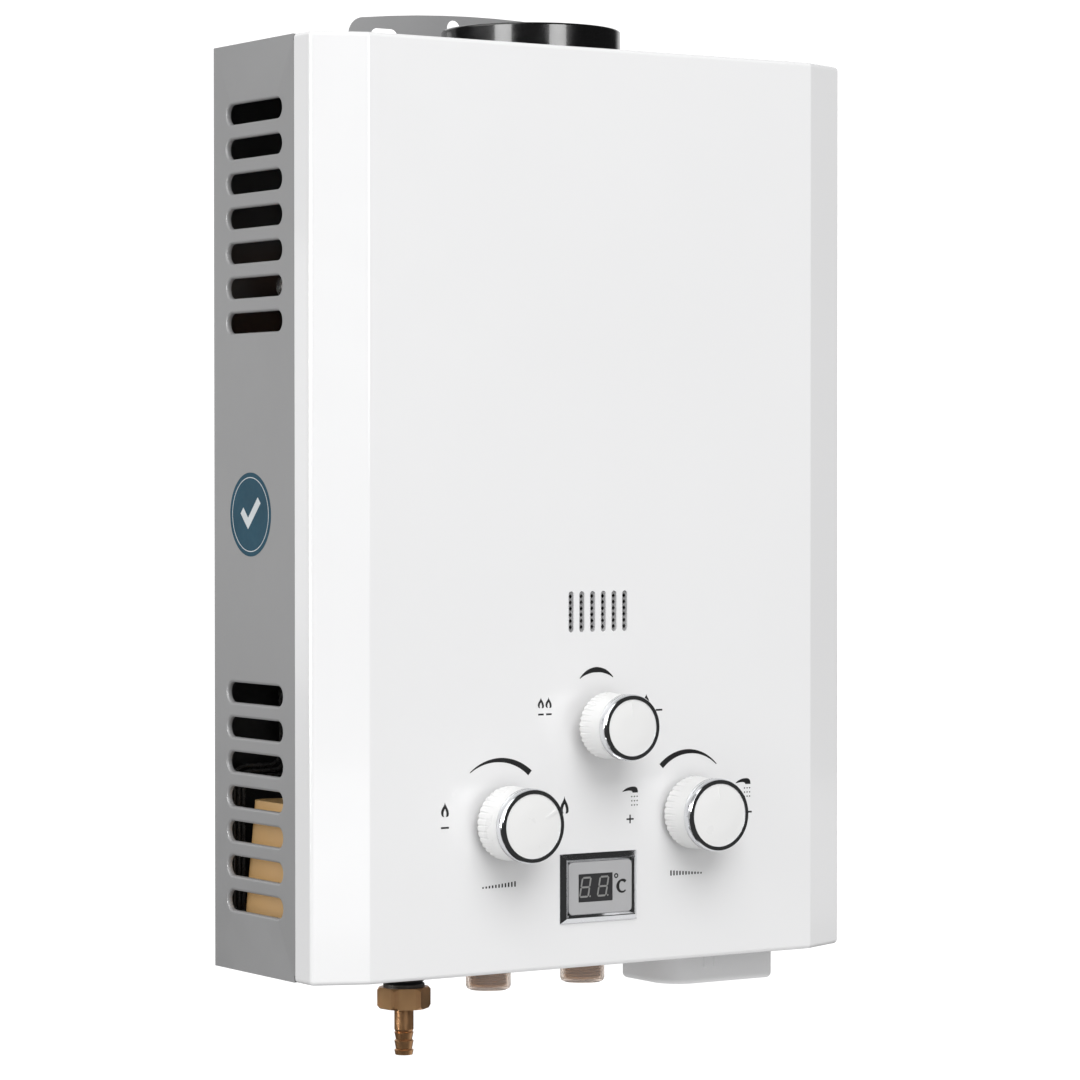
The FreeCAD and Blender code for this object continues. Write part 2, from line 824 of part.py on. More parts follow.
def exchanger_tube():
    """One tube that passes the fins three times, with two return bends."""
    end = chamber_width / 2 + tube_reach
    y1, y2, y3 = tube_rows()
    z = tube_height()
    bend = exchanger_tube_pitch / 2 - 0.01
    far = end + exchanger_tube_pitch / 2
    points = [V(-end, y1, z), V(far, y1, z), V(far, y2, z), V(-far, y2, z), V(-far, y3, z), V(end, y3, z)]
    return bent_tube(points, exchanger_tube_radius, bend)


def overheat_switch():
    x = chamber_width / 2
    z = chamber_foot + chamber_height * 0.7
    body = round_bar(V(x, -flue_from_wall, z), V(x + 7, -flue_from_wall, z), 8.0)
    tabs = block(x + 7, x + 13, -flue_from_wall - 5, -flue_from_wall - 4.2, z - 3, z + 3)
    return body.fuse([tabs, tabs.translated(V(0, 9.2, 0))])


# Burner

def blade_centres():
    return [(i - (blade_count - 1) / 2) * blade_pitch for i in range(blade_count)]


def burner_front():
    return -flue_from_wall - chamber_depth / 2


def burner_blades():
    """Stamped burner blades: a mouth at the front foot, a neck and a slotted top."""
    y0 = burner_front() + burner_wall + 2
    y1 = -flue_from_wall + chamber_depth / 2 - burner_wall - 2
    z0 = burner_foot + 3
    z1 = z0 + blade_height
    mouth = z0 + blade_mouth
    blades = []
    for x in blade_centres():
        corners = [
            V(x - blade_thickness / 2, y0, z0), V(x - blade_thickness / 2, y1, z0),
            V(x - blade_thickness / 2, y1, z1), V(x - blade_thickness / 2, y0, z1),
            V(x - blade_thickness / 2, y0, z1 - 12), V(x - blade_thickness / 2, y0 + 18, z1 - 18),
            V(x - blade_thickness / 2, y0 + 18, mouth + 4), V(x - blade_thickness / 2, y0, mouth),
        ]
        body = prism(corners, [0, 8, 0, 0, 0, 4, 4, 0], X * blade_thickness)
        port = block(x - 1.2, x + 1.2, y0 + 3, y1 - 3, z1 - 4, z1 + 1)
        inlet = round_bar(V(x, y0 - 1, z0 + blade_mouth / 2), V(x, y0 + 12, z0 + blade_mouth / 2), 3.6)
        blades.append(body.cut([port, inlet]))
    return blades


def burner_frame():
    """Sheet frame that holds the blades, open above and below."""
    ring = chamber_ring(burner_foot, chamber_foot, burner_wall)
    middle = -flue_from_wall
    half_y = chamber_depth / 2
    ledge = block(-chamber_width / 2 + 0.5, chamber_width / 2 - 0.5, middle + half_y - 12,
                  middle + half_y - 0.5, burner_foot, burner_foot + 2.7)
    front_ledge = block(-chamber_width / 2 + 0.5, chamber_width / 2 - 0.5, middle - half_y + 0.5,
                        middle - half_y + 5, burner_foot, burner_foot + 2.7)
    frame = ring.fuse([ledge, front_ledge])
    cuts = []
    y = burner_front()
    half = blade_count * blade_pitch / 2
    cuts.append(block(-half, half, y - 1, y + burner_wall + 0.01, burner_foot + 3, burner_foot + 3 + blade_mouth))
    sight = grille_centres()[-1] + grille_slot_width
    cuts.append(block(-sight, sight, y - 1, y + burner_wall + 0.01, grille_height - 10, chamber_foot - 2))
    for side in (-1, 1):
        x = side * electrode_spacing / 2
        cuts.append(round_bar(V(x, y - 1, electrode_height), V(x, y + 3, electrode_height), electrode_radius + 0.1))
    return frame.cut(cuts)


def manifold_y():
    return burner_front() - manifold_from_burner - manifold_thickness / 2


def manifold_front():
    return manifold_y() - manifold_thickness / 2


def gas_manifold():
    """Gas bar in front of the blades with the season valve in its middle."""
    half = chamber_width / 2 - manifold_end_room
    y = manifold_y()
    low = manifold_height - manifold_section / 2
    high = manifold_height + manifold_section / 2
    bar = block(-half, half, manifold_front(), y + manifold_thickness / 2, low, high)
    boss = round_bar(V(0, manifold_front() - 3, season_knob_height), V(0, manifold_front() + 1, season_knob_height),
                     spindle_boss_radius)
    body = block(-16, 16, manifold_front(), y + manifold_thickness / 2, season_knob_height - 14,
                 season_knob_height + 14)
    stub = round_bar(V(gas_inlet_x, y, valve_foot + valve_height + 6), V(gas_inlet_x, y, low + 1), 5.5)
    solid = bar.fuse([boss, body, stub])
    seat = manifold_front() - 3
    return solid.cut(round_bar(V(0, seat - 1, season_knob_height), V(0, seat + 13, season_knob_height),
                               spindle_radius + spindle_play))


def gas_nozzles():
    nozzles = []
    start = manifold_y() + manifold_thickness / 2
    z = burner_foot + 3 + blade_mouth / 2
    for x in blade_centres():
        hexagon = round_bar(V(x, start, z), V(x, start + 2.5, z), nozzle_radius)
        tip = Part.makeCone(nozzle_radius * 0.8, nozzle_radius * 0.4, 2.5, V(x, start + 2.5, z), Y)
        nozzles.append(hexagon.fuse(tip))
    return nozzles


def electrode(side):
    """Ceramic insulator with a wire pin over the blades."""
    x = side * electrode_spacing / 2
    y = burner_front() - 10
    body = round_bar(V(x, y, electrode_height), V(x, y + electrode_length, electrode_height), electrode_radius)
    flange = round_bar(V(x, burner_front() - 3, electrode_height), V(x, burner_front(), electrode_height),
                       electrode_radius + 2.5)
    pin = round_bar(V(x, y - 6, electrode_height), V(x, y + electrode_length + 18, electrode_height),
                    electrode_pin_radius)
    return body.fuse([flange, pin])


def burner_brackets():
    """Two angle brackets that tie the burner and chamber to the back wall."""
    brackets = []
    rear = -flue_from_wall + chamber_depth / 2
    for side in (-1, 1):
        x = side * (chamber_width / 2 - bracket_width)
        x0 = x - bracket_width / 2
        x1 = x + bracket_width / 2
        plate = block(x0, x1, rear, rear + bracket_sheet, bracket_foot, bracket_top)
        arm = block(x0, x1, rear, -sheet, bracket_foot, bracket_foot + bracket_sheet)
        upper = block(x0, x1, rear, -sheet, bracket_top - bracket_sheet, bracket_top)
        brackets.append(plate.fuse([arm, upper]))
    return brackets


# Gas line

def gas_inlet():
    """Black threaded stub from the gas valve down into the union nut."""
    x = gas_inlet_x
    r = gas_stub_radius
    y = fittings_y
    top = valve_foot - 8
    foot = nut_top - 4
    span = (-nut_top - 1.0) / stub_groove_count
    profile = [V(x + gas_stub_bore, y, foot), V(x + r, y, foot)]
    for i in range(stub_groove_count):
        z = nut_top + i * span
        profile.append(V(x + r, y, z + span * 0.45))
        profile.append(V(x + r - 1.2, y, z + span * 0.7))
        profile.append(V(x + r, y, z + span * 0.95))
    profile += [V(x + r, y, 1.0), V(x + r, y, top), V(x + gas_stub_bore, y, top)]
    return turned(profile, V(x, y, 0), Z)


def union_nut():
    """Hexagon nut with chamfered ends, screwed on the stub."""
    y = fittings_y
    corner = nut_flats / 2 / math.cos(math.pi / 6)
    corners = []
    for i in range(6):
        angle = math.radians(nut_turn + 60 * i)
        corners.append(V(gas_inlet_x + corner * math.cos(angle), y + corner * math.sin(angle), nut_top - nut_height))
    nut = prism(corners, 0, Z * nut_height)
    bevel = 1.6
    low = nut_top - nut_height
    envelope = [V(gas_inlet_x, y, low), V(gas_inlet_x + corner - bevel * 0.8, y, low),
                V(gas_inlet_x + corner + 0.05, y, low + bevel), V(gas_inlet_x + corner + 0.05, y, nut_top - bevel),
                V(gas_inlet_x + corner - bevel * 0.8, y, nut_top), V(gas_inlet_x, y, nut_top)]
    nut = nut.common(turned(envelope, V(gas_inlet_x, y, 0), Z))
    bore = round_bar(V(gas_inlet_x, y, nut_top - 4.3), V(gas_inlet_x, y, nut_top + 1), gas_stub_radius + 0.05)
    seat = round_bar(V(gas_inlet_x, y, low + 2.5), V(gas_inlet_x, y, nut_top), gas_stub_radius - 2.0)
    tail = round_bar(V(gas_inlet_x, y, low - 1), V(gas_inlet_x, y, nut_top), barb_radius + barb_shank_step + 0.05)
    return nut.cut([bore, seat, tail])


def hose_barb():
    """Tail piece with a collar held in the nut and three hose ridges."""
    x = gas_inlet_x
    y = fittings_y
    r = barb_radius
    low = nut_top - nut_height
    start = barb_end + barb_ridge_count * barb_ridge_pitch - 1.3
    profile = [V(x + barb_bore, y, barb_end), V(x + barb_root_radius + 0.3, y, barb_end)]
    for i in range(barb_ridge_count):
        z = barb_end + i * barb_ridge_pitch
        profile.append(V(x + r, y, z + barb_ridge_pitch - 1.6 if i else z + 2.6))
        if i < barb_ridge_count - 1:
            profile.append(V(x + barb_root_radius, y, z + barb_ridge_pitch - 0.9 if i else z + 3.2))
        else:
            profile.append(V(x + barb_root_radius + 0.3, y, start))
    profile += [
        V(x + r, y, start + 1.4), V(x + r, y, low), V(x + r + barb_shank_step, y, low),
        V(x + r + barb_shank_step, y, low + 2.6), V(x + gas_stub_radius - 2.1, y, low + 2.6),
        V(x + gas_stub_radius - 2.1, y, nut_top - 4.5), V(x + barb_bore, y, nut_top - 4.5),
    ]
    return turned(profile, V(x, y, 0), Z)


def gas_valve():
    """Cast gas valve: crossing barrels with the inlet neck, spindle boss, rod neck and manifold port."""
    x_mid = -knob_spacing / 2 - 6
    x0 = x_mid - gas_valve_width / 2
    x1 = x_mid + gas_valve_width / 2
    y0 = front + valve_front
    y1 = y0 + valve_depth
    z = lower_knob_height
    top = valve_foot + valve_height
    knob_x = -knob_spacing / 2
    port_y = manifold_y()
    port_z = top - valve_neck_radius
    body = round_bar(V(knob_x, y0, z), V(knob_x, y1, z), valve_barrel_radius)
    parts = [
        round_bar(V(x0, fittings_y, z), V(x1 + 6, fittings_y, z), valve_neck_radius + 3),
        round_bar(V(gas_inlet_x, fittings_y, valve_foot - 12), V(gas_inlet_x, fittings_y, top - 2),
                  gas_stub_radius + 3.5),
        round_bar(V(knob_x, y0 - 12, z), V(knob_x, y0 + 1, z), spindle_boss_radius),
        round_bar(V(gas_inlet_x, fittings_y, port_z), V(gas_inlet_x, port_y - 9, port_z), 10.0),
        round_bar(V(gas_inlet_x, port_y, port_z), V(gas_inlet_x, port_y, top + 6), 9.0),
    ]
    cuts = [
        spindle_hole(knob_x, z, y0 - 12),
        round_bar(V(gas_inlet_x, fittings_y, valve_foot - 13), V(gas_inlet_x, fittings_y, valve_foot - 8),
                  gas_stub_radius + 0.05),
        round_bar(V(gas_inlet_x, fittings_y, valve_foot - 13), V(gas_inlet_x, fittings_y, port_z),
                  gas_stub_bore),
        round_bar(V(x1 - 8, fittings_y, z), V(x1 + 7, fittings_y, z), rod_radius + spindle_play),
    ]
    return body.fuse(parts).cut(cuts)


def solenoid():
    """Safety coil on the valve's left side, with its two tabs."""
    x = -knob_spacing / 2 - 6 - gas_valve_width / 2
    y = fittings_y
    z = lower_knob_height
    coil = round_bar(V(x - solenoid_length, y, z), V(x - 2, y, z), solenoid_radius)
    neck = round_bar(V(x - 3, y, z), V(x, y, z), solenoid_radius * 0.6)
    return coil.fuse(neck)


# Water line

def nipple(x, top):
    """Threaded stub through the bottom plate, with a collar above it."""
    y = fittings_y
    collar = thread_radius + 3
    profile = [
        V(x + nipple_bore, y, nipple_end), V(x + thread_radius - 1, y, nipple_end),
        V(x + thread_radius, y, nipple_end + 1), V(x + thread_radius, y, sheet), V(x + collar, y, sheet),
        V(x + collar, y, sheet + 6), V(x + nipple_bore + 2, y, sheet + 6), V(x + nipple_bore + 2, y, top),
        V(x + nipple_bore, y, top),
    ]
    return turned(profile, V(x, y, 0), Z)


def transit_cap(x):
    """Clear push-on cap over a thread, with a rounded closed end."""
    y = fittings_y
    top = -1.2
    inner = thread_radius + seam
    r = inner + cap_wall
    profile = [
        V(x, y, cap_end), V(x + r - 2.2, y, cap_end), V(x + r - 0.7, y, cap_end + 0.7), V(x + r, y, cap_end + 2.2),
        V(x + r, y, top), V(x + inner, y, top), V(x + inner, y, cap_end + cap_wall), V(x, y, cap_end + cap_wall),
    ]
    return turned(profile, V(x, y, 0), Z)


def water_valve_edges():
    return water_valve_x - water_valve_width / 2, water_valve_x + water_valve_width / 2


def disc_centre(x):
    return V(x, fittings_y, lower_knob_height)


def water_valve():
    """Cast water valve with the diaphragm's flange on its left side."""
    x0, x1 = water_valve_edges()
    y0 = front + valve_front
    z = lower_knob_height
    knob_x = knob_spacing / 2
    body = round_bar(disc_centre(x0), disc_centre(x1), valve_barrel_radius + 4)
    housing = round_bar(V(knob_x, y0, z), V(knob_x, fittings_y, z), valve_neck_radius + 3)
    disc = round_bar(disc_centre(x0 - diaphragm_flange), disc_centre(x0 + 1), diaphragm_radius)
    neck = round_bar(V(cold_x, fittings_y, valve_foot - 12), V(cold_x, fittings_y, z), valve_neck_radius)
    boss = round_bar(V(knob_x, y0 - 12, z), V(knob_x, y0 + 1, z), spindle_boss_radius)
    outlet = round_bar(disc_centre(x1 - 1), disc_centre(x1 + 8), pipe_radius + 3)
    bowl = Part.makeCone(12, diaphragm_radius - 8, 6, disc_centre(x0 - diaphragm_flange + 6), X * -1)
    cuts = [
        bowl, spindle_hole(knob_x, z, y0 - 12),
        round_bar(V(cold_x, fittings_y, valve_foot - 13), V(cold_x, fittings_y, valve_foot - 6),
                  nipple_bore + 2.05),
        round_bar(V(cold_x, fittings_y, valve_foot - 13), V(cold_x, fittings_y, z), nipple_bore - 1),
        round_bar(disc_centre(x1 + 3), disc_centre(x1 + 9), pipe_radius + 0.05),
        round_bar(disc_centre(cold_x), disc_centre(x1 + 9), pipe_radius - pipe_wall),
    ]
    cuts += diaphragm_screw_bars(cover_screw_radius + 0.05)
    return body.fuse([disc, neck, housing, boss, outlet]).cut(cuts)


def diaphragm_screw_bars(radius):
    x0 = water_valve_edges()[0]
    bars = []
    for i in range(6):
        angle = math.radians(30 + 60 * i)
        offset = V(0, math.cos(angle), math.sin(angle)) * (diaphragm_radius - 4)
        start = disc_centre(x0 - 2 * diaphragm_flange - diaphragm_thickness) + offset
        bars.append(round_bar(start, start + X * (2 * diaphragm_flange + diaphragm_thickness), radius))
    return bars


def diaphragm():
    x = water_valve_edges()[0] - diaphragm_flange
    disc = round_bar(disc_centre(x - diaphragm_thickness), disc_centre(x), diaphragm_radius)
    return disc.cut(diaphragm_screw_bars(cover_screw_radius + 0.05))


def diaphragm_cover():
    """Domed cover that clamps the diaphragm; the push rod leaves through its neck."""
    x = water_valve_edges()[0] - diaphragm_flange - diaphragm_thickness
    flange = round_bar(disc_centre(x - diaphragm_flange), disc_centre(x), diaphragm_radius)
    dome = Part.makeCone(dome_radius, dome_radius - 6, dome_depth, disc_centre(x - diaphragm_flange), X * -1)
    neck = round_bar(disc_centre(x - diaphragm_flange - dome_depth - 4), disc_centre(x - diaphragm_flange), 6.0)
    hollow_depth = diaphragm_flange + dome_depth - 3
    hollow = Part.makeCone(dome_radius - 2.5, dome_radius - 8, hollow_depth, disc_centre(x), X * -1)
    hole = round_bar(disc_centre(x + 1), disc_centre(x - diaphragm_flange - dome_depth - 5),
                     rod_radius + spindle_play)
    return flange.fuse([dome, neck]).cut([hollow, hole] + diaphragm_screw_bars(cover_screw_radius + 0.05))


def diaphragm_screws():
    screws = diaphragm_screw_bars(cover_screw_radius)
    done = []
    for bar in screws:
        start = bar.BoundBox
        centre = V(start.XMin, (start.YMin + start.YMax) / 2, (start.ZMin + start.ZMax) / 2)
        done.append(bar.fuse(round_bar(centre - X * 2.4, centre, cover_screw_radius * 1.8)))
    return done


def rod_ends():
    left = -knob_spacing / 2 - 6 + gas_valve_width / 2 + 6
    right = water_valve_edges()[0] - diaphragm_flange - diaphragm_thickness - seam
    return left, right


def collar_x():
    left, right = rod_ends()
    return left + 0.5 * (right - diaphragm_flange - dome_depth - 4 - left)


def linkage_rod():
    """Push rod: the diaphragm moves it towards the gas valve, its collar moves the lever."""
    left, right = rod_ends()
    rod = round_bar(disc_centre(left - 4), disc_centre(right), rod_radius)
    collar = round_bar(disc_centre(collar_x()), disc_centre(collar_x() + collar_thickness), collar_radius)
    plate = round_bar(disc_centre(right - 2), disc_centre(right), dome_radius * 0.55)
    return rod.fuse([collar, plate])


def lever_pivot():
    return V(collar_x() - seam - lever_nose - lever_thickness / 2, fittings_y, lower_knob_height + lever_drop)


def switch_lever():
    """Thin forked lever; its two noses rest beside the push rod's collar."""
    pivot = lever_pivot()
    half = lever_width / 2
    arm = block(pivot.x - lever_thickness / 2, pivot.x + lever_thickness / 2, pivot.y - half - 2,
                pivot.y + half + 2, lower_knob_height - 4, pivot.z)
    nose_x = pivot.x + lever_thickness / 2
    nose_foot = V(nose_x, pivot.y - half - 2, lower_knob_height)
    nose = round_bar(nose_foot, nose_foot + Y * (2 * half + 4), lever_nose)
    fork = block(pivot.x - 3, pivot.x + 3, pivot.y - rod_radius - 0.6, pivot.y + rod_radius + 0.6,
                 lower_knob_height - 5, lower_knob_height + rod_radius + 1.2)
    knuckle = round_bar(V(pivot.x, pivot.y - half - 2, pivot.z), V(pivot.x, pivot.y + half + 2, pivot.z), 2.4)
    hole = round_bar(V(pivot.x, pivot.y - half - 3, pivot.z), V(pivot.x, pivot.y + half + 3, pivot.z), 1.26)
    return arm.fuse([knuckle, nose]).cut([hole, fork])


def microswitch():
    """Switch on a bracket from the gas valve's neck, with ears and a pin for the lever."""
    pivot = lever_pivot()
    half = lever_width / 2 + 2
    left = rod_ends()[0]
    ears = []
    for y0, y1 in ((pivot.y - half - 2.3, pivot.y - half - 0.3), (pivot.y + half + 0.3, pivot.y + half + 2.3)):
        ears.append(block(pivot.x - 3, pivot.x + 3, y0, y1, pivot.z - 3, pivot.z + 7))
    pin = round_bar(V(pivot.x, pivot.y - half - 2, pivot.z), V(pivot.x, pivot.y + half + 2, pivot.z), 1.2)
    body = block(pivot.x - 16, pivot.x + 6, pivot.y - half - 2.3, pivot.y + half + 2.3, pivot.z + 6, pivot.z + 18)
    bracket = block(left - 6, pivot.x - 8, pivot.y - 6, pivot.y + 6, pivot.z + 6, pivot.z + 8)
    down = block(left, left + 1.5, pivot.y - 6, pivot.y + 6, lower_knob_height + rod_radius + 3, pivot.z + 8)
    return body.fuse(ears + [pin, bracket, down])


def cold_pipe():
    """From the water valve round the burner and across the chamber's front to the first tube."""
    x1 = water_valve_edges()[1]
    side = chamber_width / 2 + 20
    level = chamber_foot + chamber_height * 0.6
    y1 = tube_rows()[0]
    front_y = -flue_from_wall - chamber_depth / 2 - pipe_radius - 1
    points = [
        V(x1 + 3.5, fittings_y, lower_knob_height), V(side, fittings_y, lower_knob_height),
        V(side, fittings_y, level), V(side, front_y, level), V(-side, front_y, level),
        V(-side, y1, level), V(-side, y1, tube_height()),
        V(-chamber_width / 2 - tube_reach - 0.3, y1, tube_height()),
    ]
    return bent_tube(points, pipe_radius, [0, pipe_bend, pipe_bend, pipe_bend, pipe_bend, 10.0, pipe_bend * 0.7, 0])


def hot_pipe():
    """From the last tube down the right side and behind the valves to the hot outlet."""
    y3 = tube_rows()[2]
    side = chamber_width / 2 + 30
    rear = -sheet - pipe_radius - 8
    points = [
        V(chamber_width / 2 + tube_reach + 0.3, y3, tube_height()), V(side, y3, tube_height()),
        V(side, y3, burner_foot - 14), V(hot_x, rear, burner_foot - 14), V(hot_x, rear, 26),
        V(hot_x, fittings_y, 26), V(hot_x, fittings_y, sheet + 6.3),
    ]
    return bent_tube(points, pipe_radius, [0, 14.0, 14.0, 14.0, 12.0, 12.0, 0])


def outlet_sensor():
    """Temperature probe clipped to the hot pipe."""
    rear = -sheet - pipe_radius - 8
    z = 60.0
    ring = round_bar(V(hot_x, rear, z - 4), V(hot_x, rear, z + 4), pipe_radius + 1.5)
    hole = round_bar(V(hot_x, rear, z - 5), V(hot_x, rear, z + 5), pipe_radius + 0.05)
    probe = round_bar(V(hot_x, rear - pipe_radius - 8, z), V(hot_x, rear - pipe_radius - 1, z), 3.0)
    return ring.fuse(probe).cut(hole)


# Electrics

def igniter_box():
    """Tan moulded box with rounded corners and drafted sides."""
    x0 = -half_width + igniter_from_side
    y1 = -igniter_from_wall

    def section(inset, z):
        left = x0 + inset
        right = x0 + igniter_width - inset
        fore = y1 - igniter_depth + inset
        rear = y1 - inset
        corners = [V(left, fore, z), V(right, fore, z), V(right, rear, z), V(left, rear, z)]
        return Part.Wire(rounded_edges(corners, igniter_corner, True))

    top = section(igniter_draft, igniter_foot + igniter_height)
    body = Part.makeLoft([section(0, igniter_foot), top], True, True)
    middle = x0 + igniter_width / 2
    rear_tab = block(middle - igniter_tab / 2, middle + igniter_tab / 2, y1 - 12, -sheet, igniter_foot + 2,
                     igniter_foot + 5)
    return body.fuse(rear_tab)


def lead_start(row):
    """A lead's way from under the igniter box to behind it and up over its top."""
    x = -half_width + lead_from_side + row * lead_spacing
    start_x = x + lead_bend
    low = igniter_foot - lead_drop
    turn = lead_turn_height + (2 - row) * lead_spacing
    return [
        V(start_x, -lead_start_from_wall, igniter_foot - 0.3), V(start_x, -lead_start_from_wall, low),
        V(x, -lead_from_wall, low), V(x, -lead_from_wall, turn),
    ]


def electrode_lead(row, side):
    """Insulated lead that goes round the burner's left side to an electrode's pin."""
    inward = -chamber_width / 2 - lead_bend - (1 - row) * lead_spacing
    end_x = side * electrode_spacing / 2
    end_y = burner_front() - 13
    level = lead_level + row * lead_spacing
    points = lead_start(row)
    points += [
        V(inward, -lead_from_wall, points[-1].z), V(inward, -lead_from_wall, level), V(inward, end_y, level),
        V(end_x, end_y, level), V(end_x, end_y, electrode_height - electrode_pin_radius - 0.3),
    ]
    return bent_tube(points, lead_radius, lead_bend)


def solenoid_lead(row):
    """Insulated lead that comes down on the solenoid's top."""
    x = -knob_spacing / 2 - 6 - gas_valve_width / 2 - solenoid_length / 2
    points = lead_start(row)
    turn = points[-1].z
    points += [
        V(x, -lead_from_wall, turn), V(x, fittings_y, turn),
        V(x, fittings_y, lower_knob_height + solenoid_radius + 0.3),
    ]
    return bent_tube(points, lead_radius, lead_bend)


def cell_centres():
    reach = cell_radius + cell_play / 2
    return [V(battery_x - reach, fittings_y, 0), V(battery_x + reach, fittings_y, 0)]


def cell_foot():
    return -battery_flange - seam - lid_drop + lid_wall + contact_rise


def battery_box():
    """Open-bottomed box for two standing cells, with a flange under the plate and hinge ears."""
    reach_x = 2 * cell_radius + 2 * cell_play + battery_wall
    reach_y = cell_radius + cell_play + battery_wall
    top = cell_foot() + cell_length + contact_thickness + 0.2 + battery_wall
    outer = block(battery_x - reach_x, battery_x + reach_x, fittings_y - reach_y, fittings_y + reach_y, -1, top)
    flange = block(battery_x - lid_width / 2 - 1, battery_x + lid_width / 2 + 1, fittings_y - lid_depth / 2 - 1,
                   fittings_y + lid_depth / 2 + 7, -battery_flange, 0)
    w = battery_wall
    inner = block(battery_x - reach_x + w, battery_x + reach_x - w, fittings_y - reach_y + w,
                  fittings_y + reach_y - w, -battery_flange - 1, top - w)
    pin = lid_pin_centre()
    ears = []
    for side in (-1, 1):
        x = battery_x + side * lid_ear_spacing / 2
        ears.append(block(x - lid_ear_length / 2, x + lid_ear_length / 2, pin.y - 2.2, pin.y + 2.2,
                          pin.z, -battery_flange + 0.5))
        ears.append(round_bar(V(x - lid_ear_length / 2, pin.y, pin.z), V(x + lid_ear_length / 2, pin.y, pin.z), 2.2))
    hole = round_bar(V(battery_x - lid_width, pin.y, pin.z), V(battery_x + lid_width, pin.y, pin.z),
                     lid_pin_radius + 0.02)
    return outer.fuse([flange] + ears).cut([inner, hole])


def lid_pin_centre():
    return V(battery_x, fittings_y + lid_depth / 2 + 3.3, -battery_flange - 4.0)


def lid_outline(inset, z):
    x0 = battery_x - lid_width / 2 + inset
    x1 = battery_x + lid_width / 2 - inset
    y0 = fittings_y - lid_depth / 2 + inset
    y1 = fittings_y + lid_depth / 2 - inset
    corners = [V(x0, y0, z), V(x1, y0, z), V(x1, y1, z), V(x0, y1, z)]
    radii = [lid_left_radius - inset, lid_right_radius - inset, lid_right_radius - inset, lid_right_radius - inset]
    return corners, radii


def battery_lid():
    """Deep lid that hangs under the casing, hinged at its rear edge."""
    high = -battery_flange - seam
    low = high - lid_drop
    corners, radii = lid_outline(0, low)
    outer = prism(corners, radii, Z * lid_drop)
    floor = [e for e in outer.Edges if all(abs(v.Z - low) < 1e-5 for v in e.Vertexes)]
    outer = outer.makeFillet(lid_floor_radius, floor)
    corners, radii = lid_outline(lid_wall, low + lid_wall)
    inner = prism(corners, radii, Z * lid_drop)
    pin = lid_pin_centre()
    rear = fittings_y + lid_depth / 2
    span = lid_ear_spacing / 2 - lid_ear_length / 2 - 0.4
    knuckle = round_bar(V(battery_x - span, pin.y, pin.z), V(battery_x + span, pin.y, pin.z), 2.2)
    web = block(battery_x - span, battery_x + span, rear - 0.5, pin.y, pin.z - 2.2, pin.z)
    ribs = []
    for x in (battery_x - 12, battery_x - 5):
        ribs.append(block(x - 0.8, x + 0.8, fittings_y - lid_depth / 2 - 0.7, fittings_y - lid_depth / 2 + 0.5,
                          high - 10, high - 2))
    hole = round_bar(V(battery_x - span - 1, pin.y, pin.z), V(battery_x + span + 1, pin.y, pin.z),
                     lid_pin_radius + lid_pin_play)
    return outer.cut(inner).fuse([knuckle, web] + ribs).cut(hole)


def battery_lid_pin():
    pin = lid_pin_centre()
    reach = lid_ear_spacing / 2 + lid_ear_length / 2
    return round_bar(V(battery_x - reach, pin.y, pin.z), V(battery_x + reach, pin.y, pin.z), lid_pin_radius)


def battery_cells():
    cells = []
    for centre in cell_centres():
        foot = centre + Z * cell_foot()
        can = round_bar(foot, foot + Z * (cell_length - 1.5), cell_radius)
        nub = round_bar(foot + Z * (cell_length - 2), foot + Z * cell_length, 4.7)
        cells.append(can.fuse(nub))
    return cells


def battery_contacts():
    contacts = []
    top = cell_foot() + cell_length + 0.2
    for centre in cell_centres():
        contacts.append(block(centre.x - 7, centre.x + 7, centre.y - 6, centre.y + 6, top, top + contact_thickness))
    return contacts


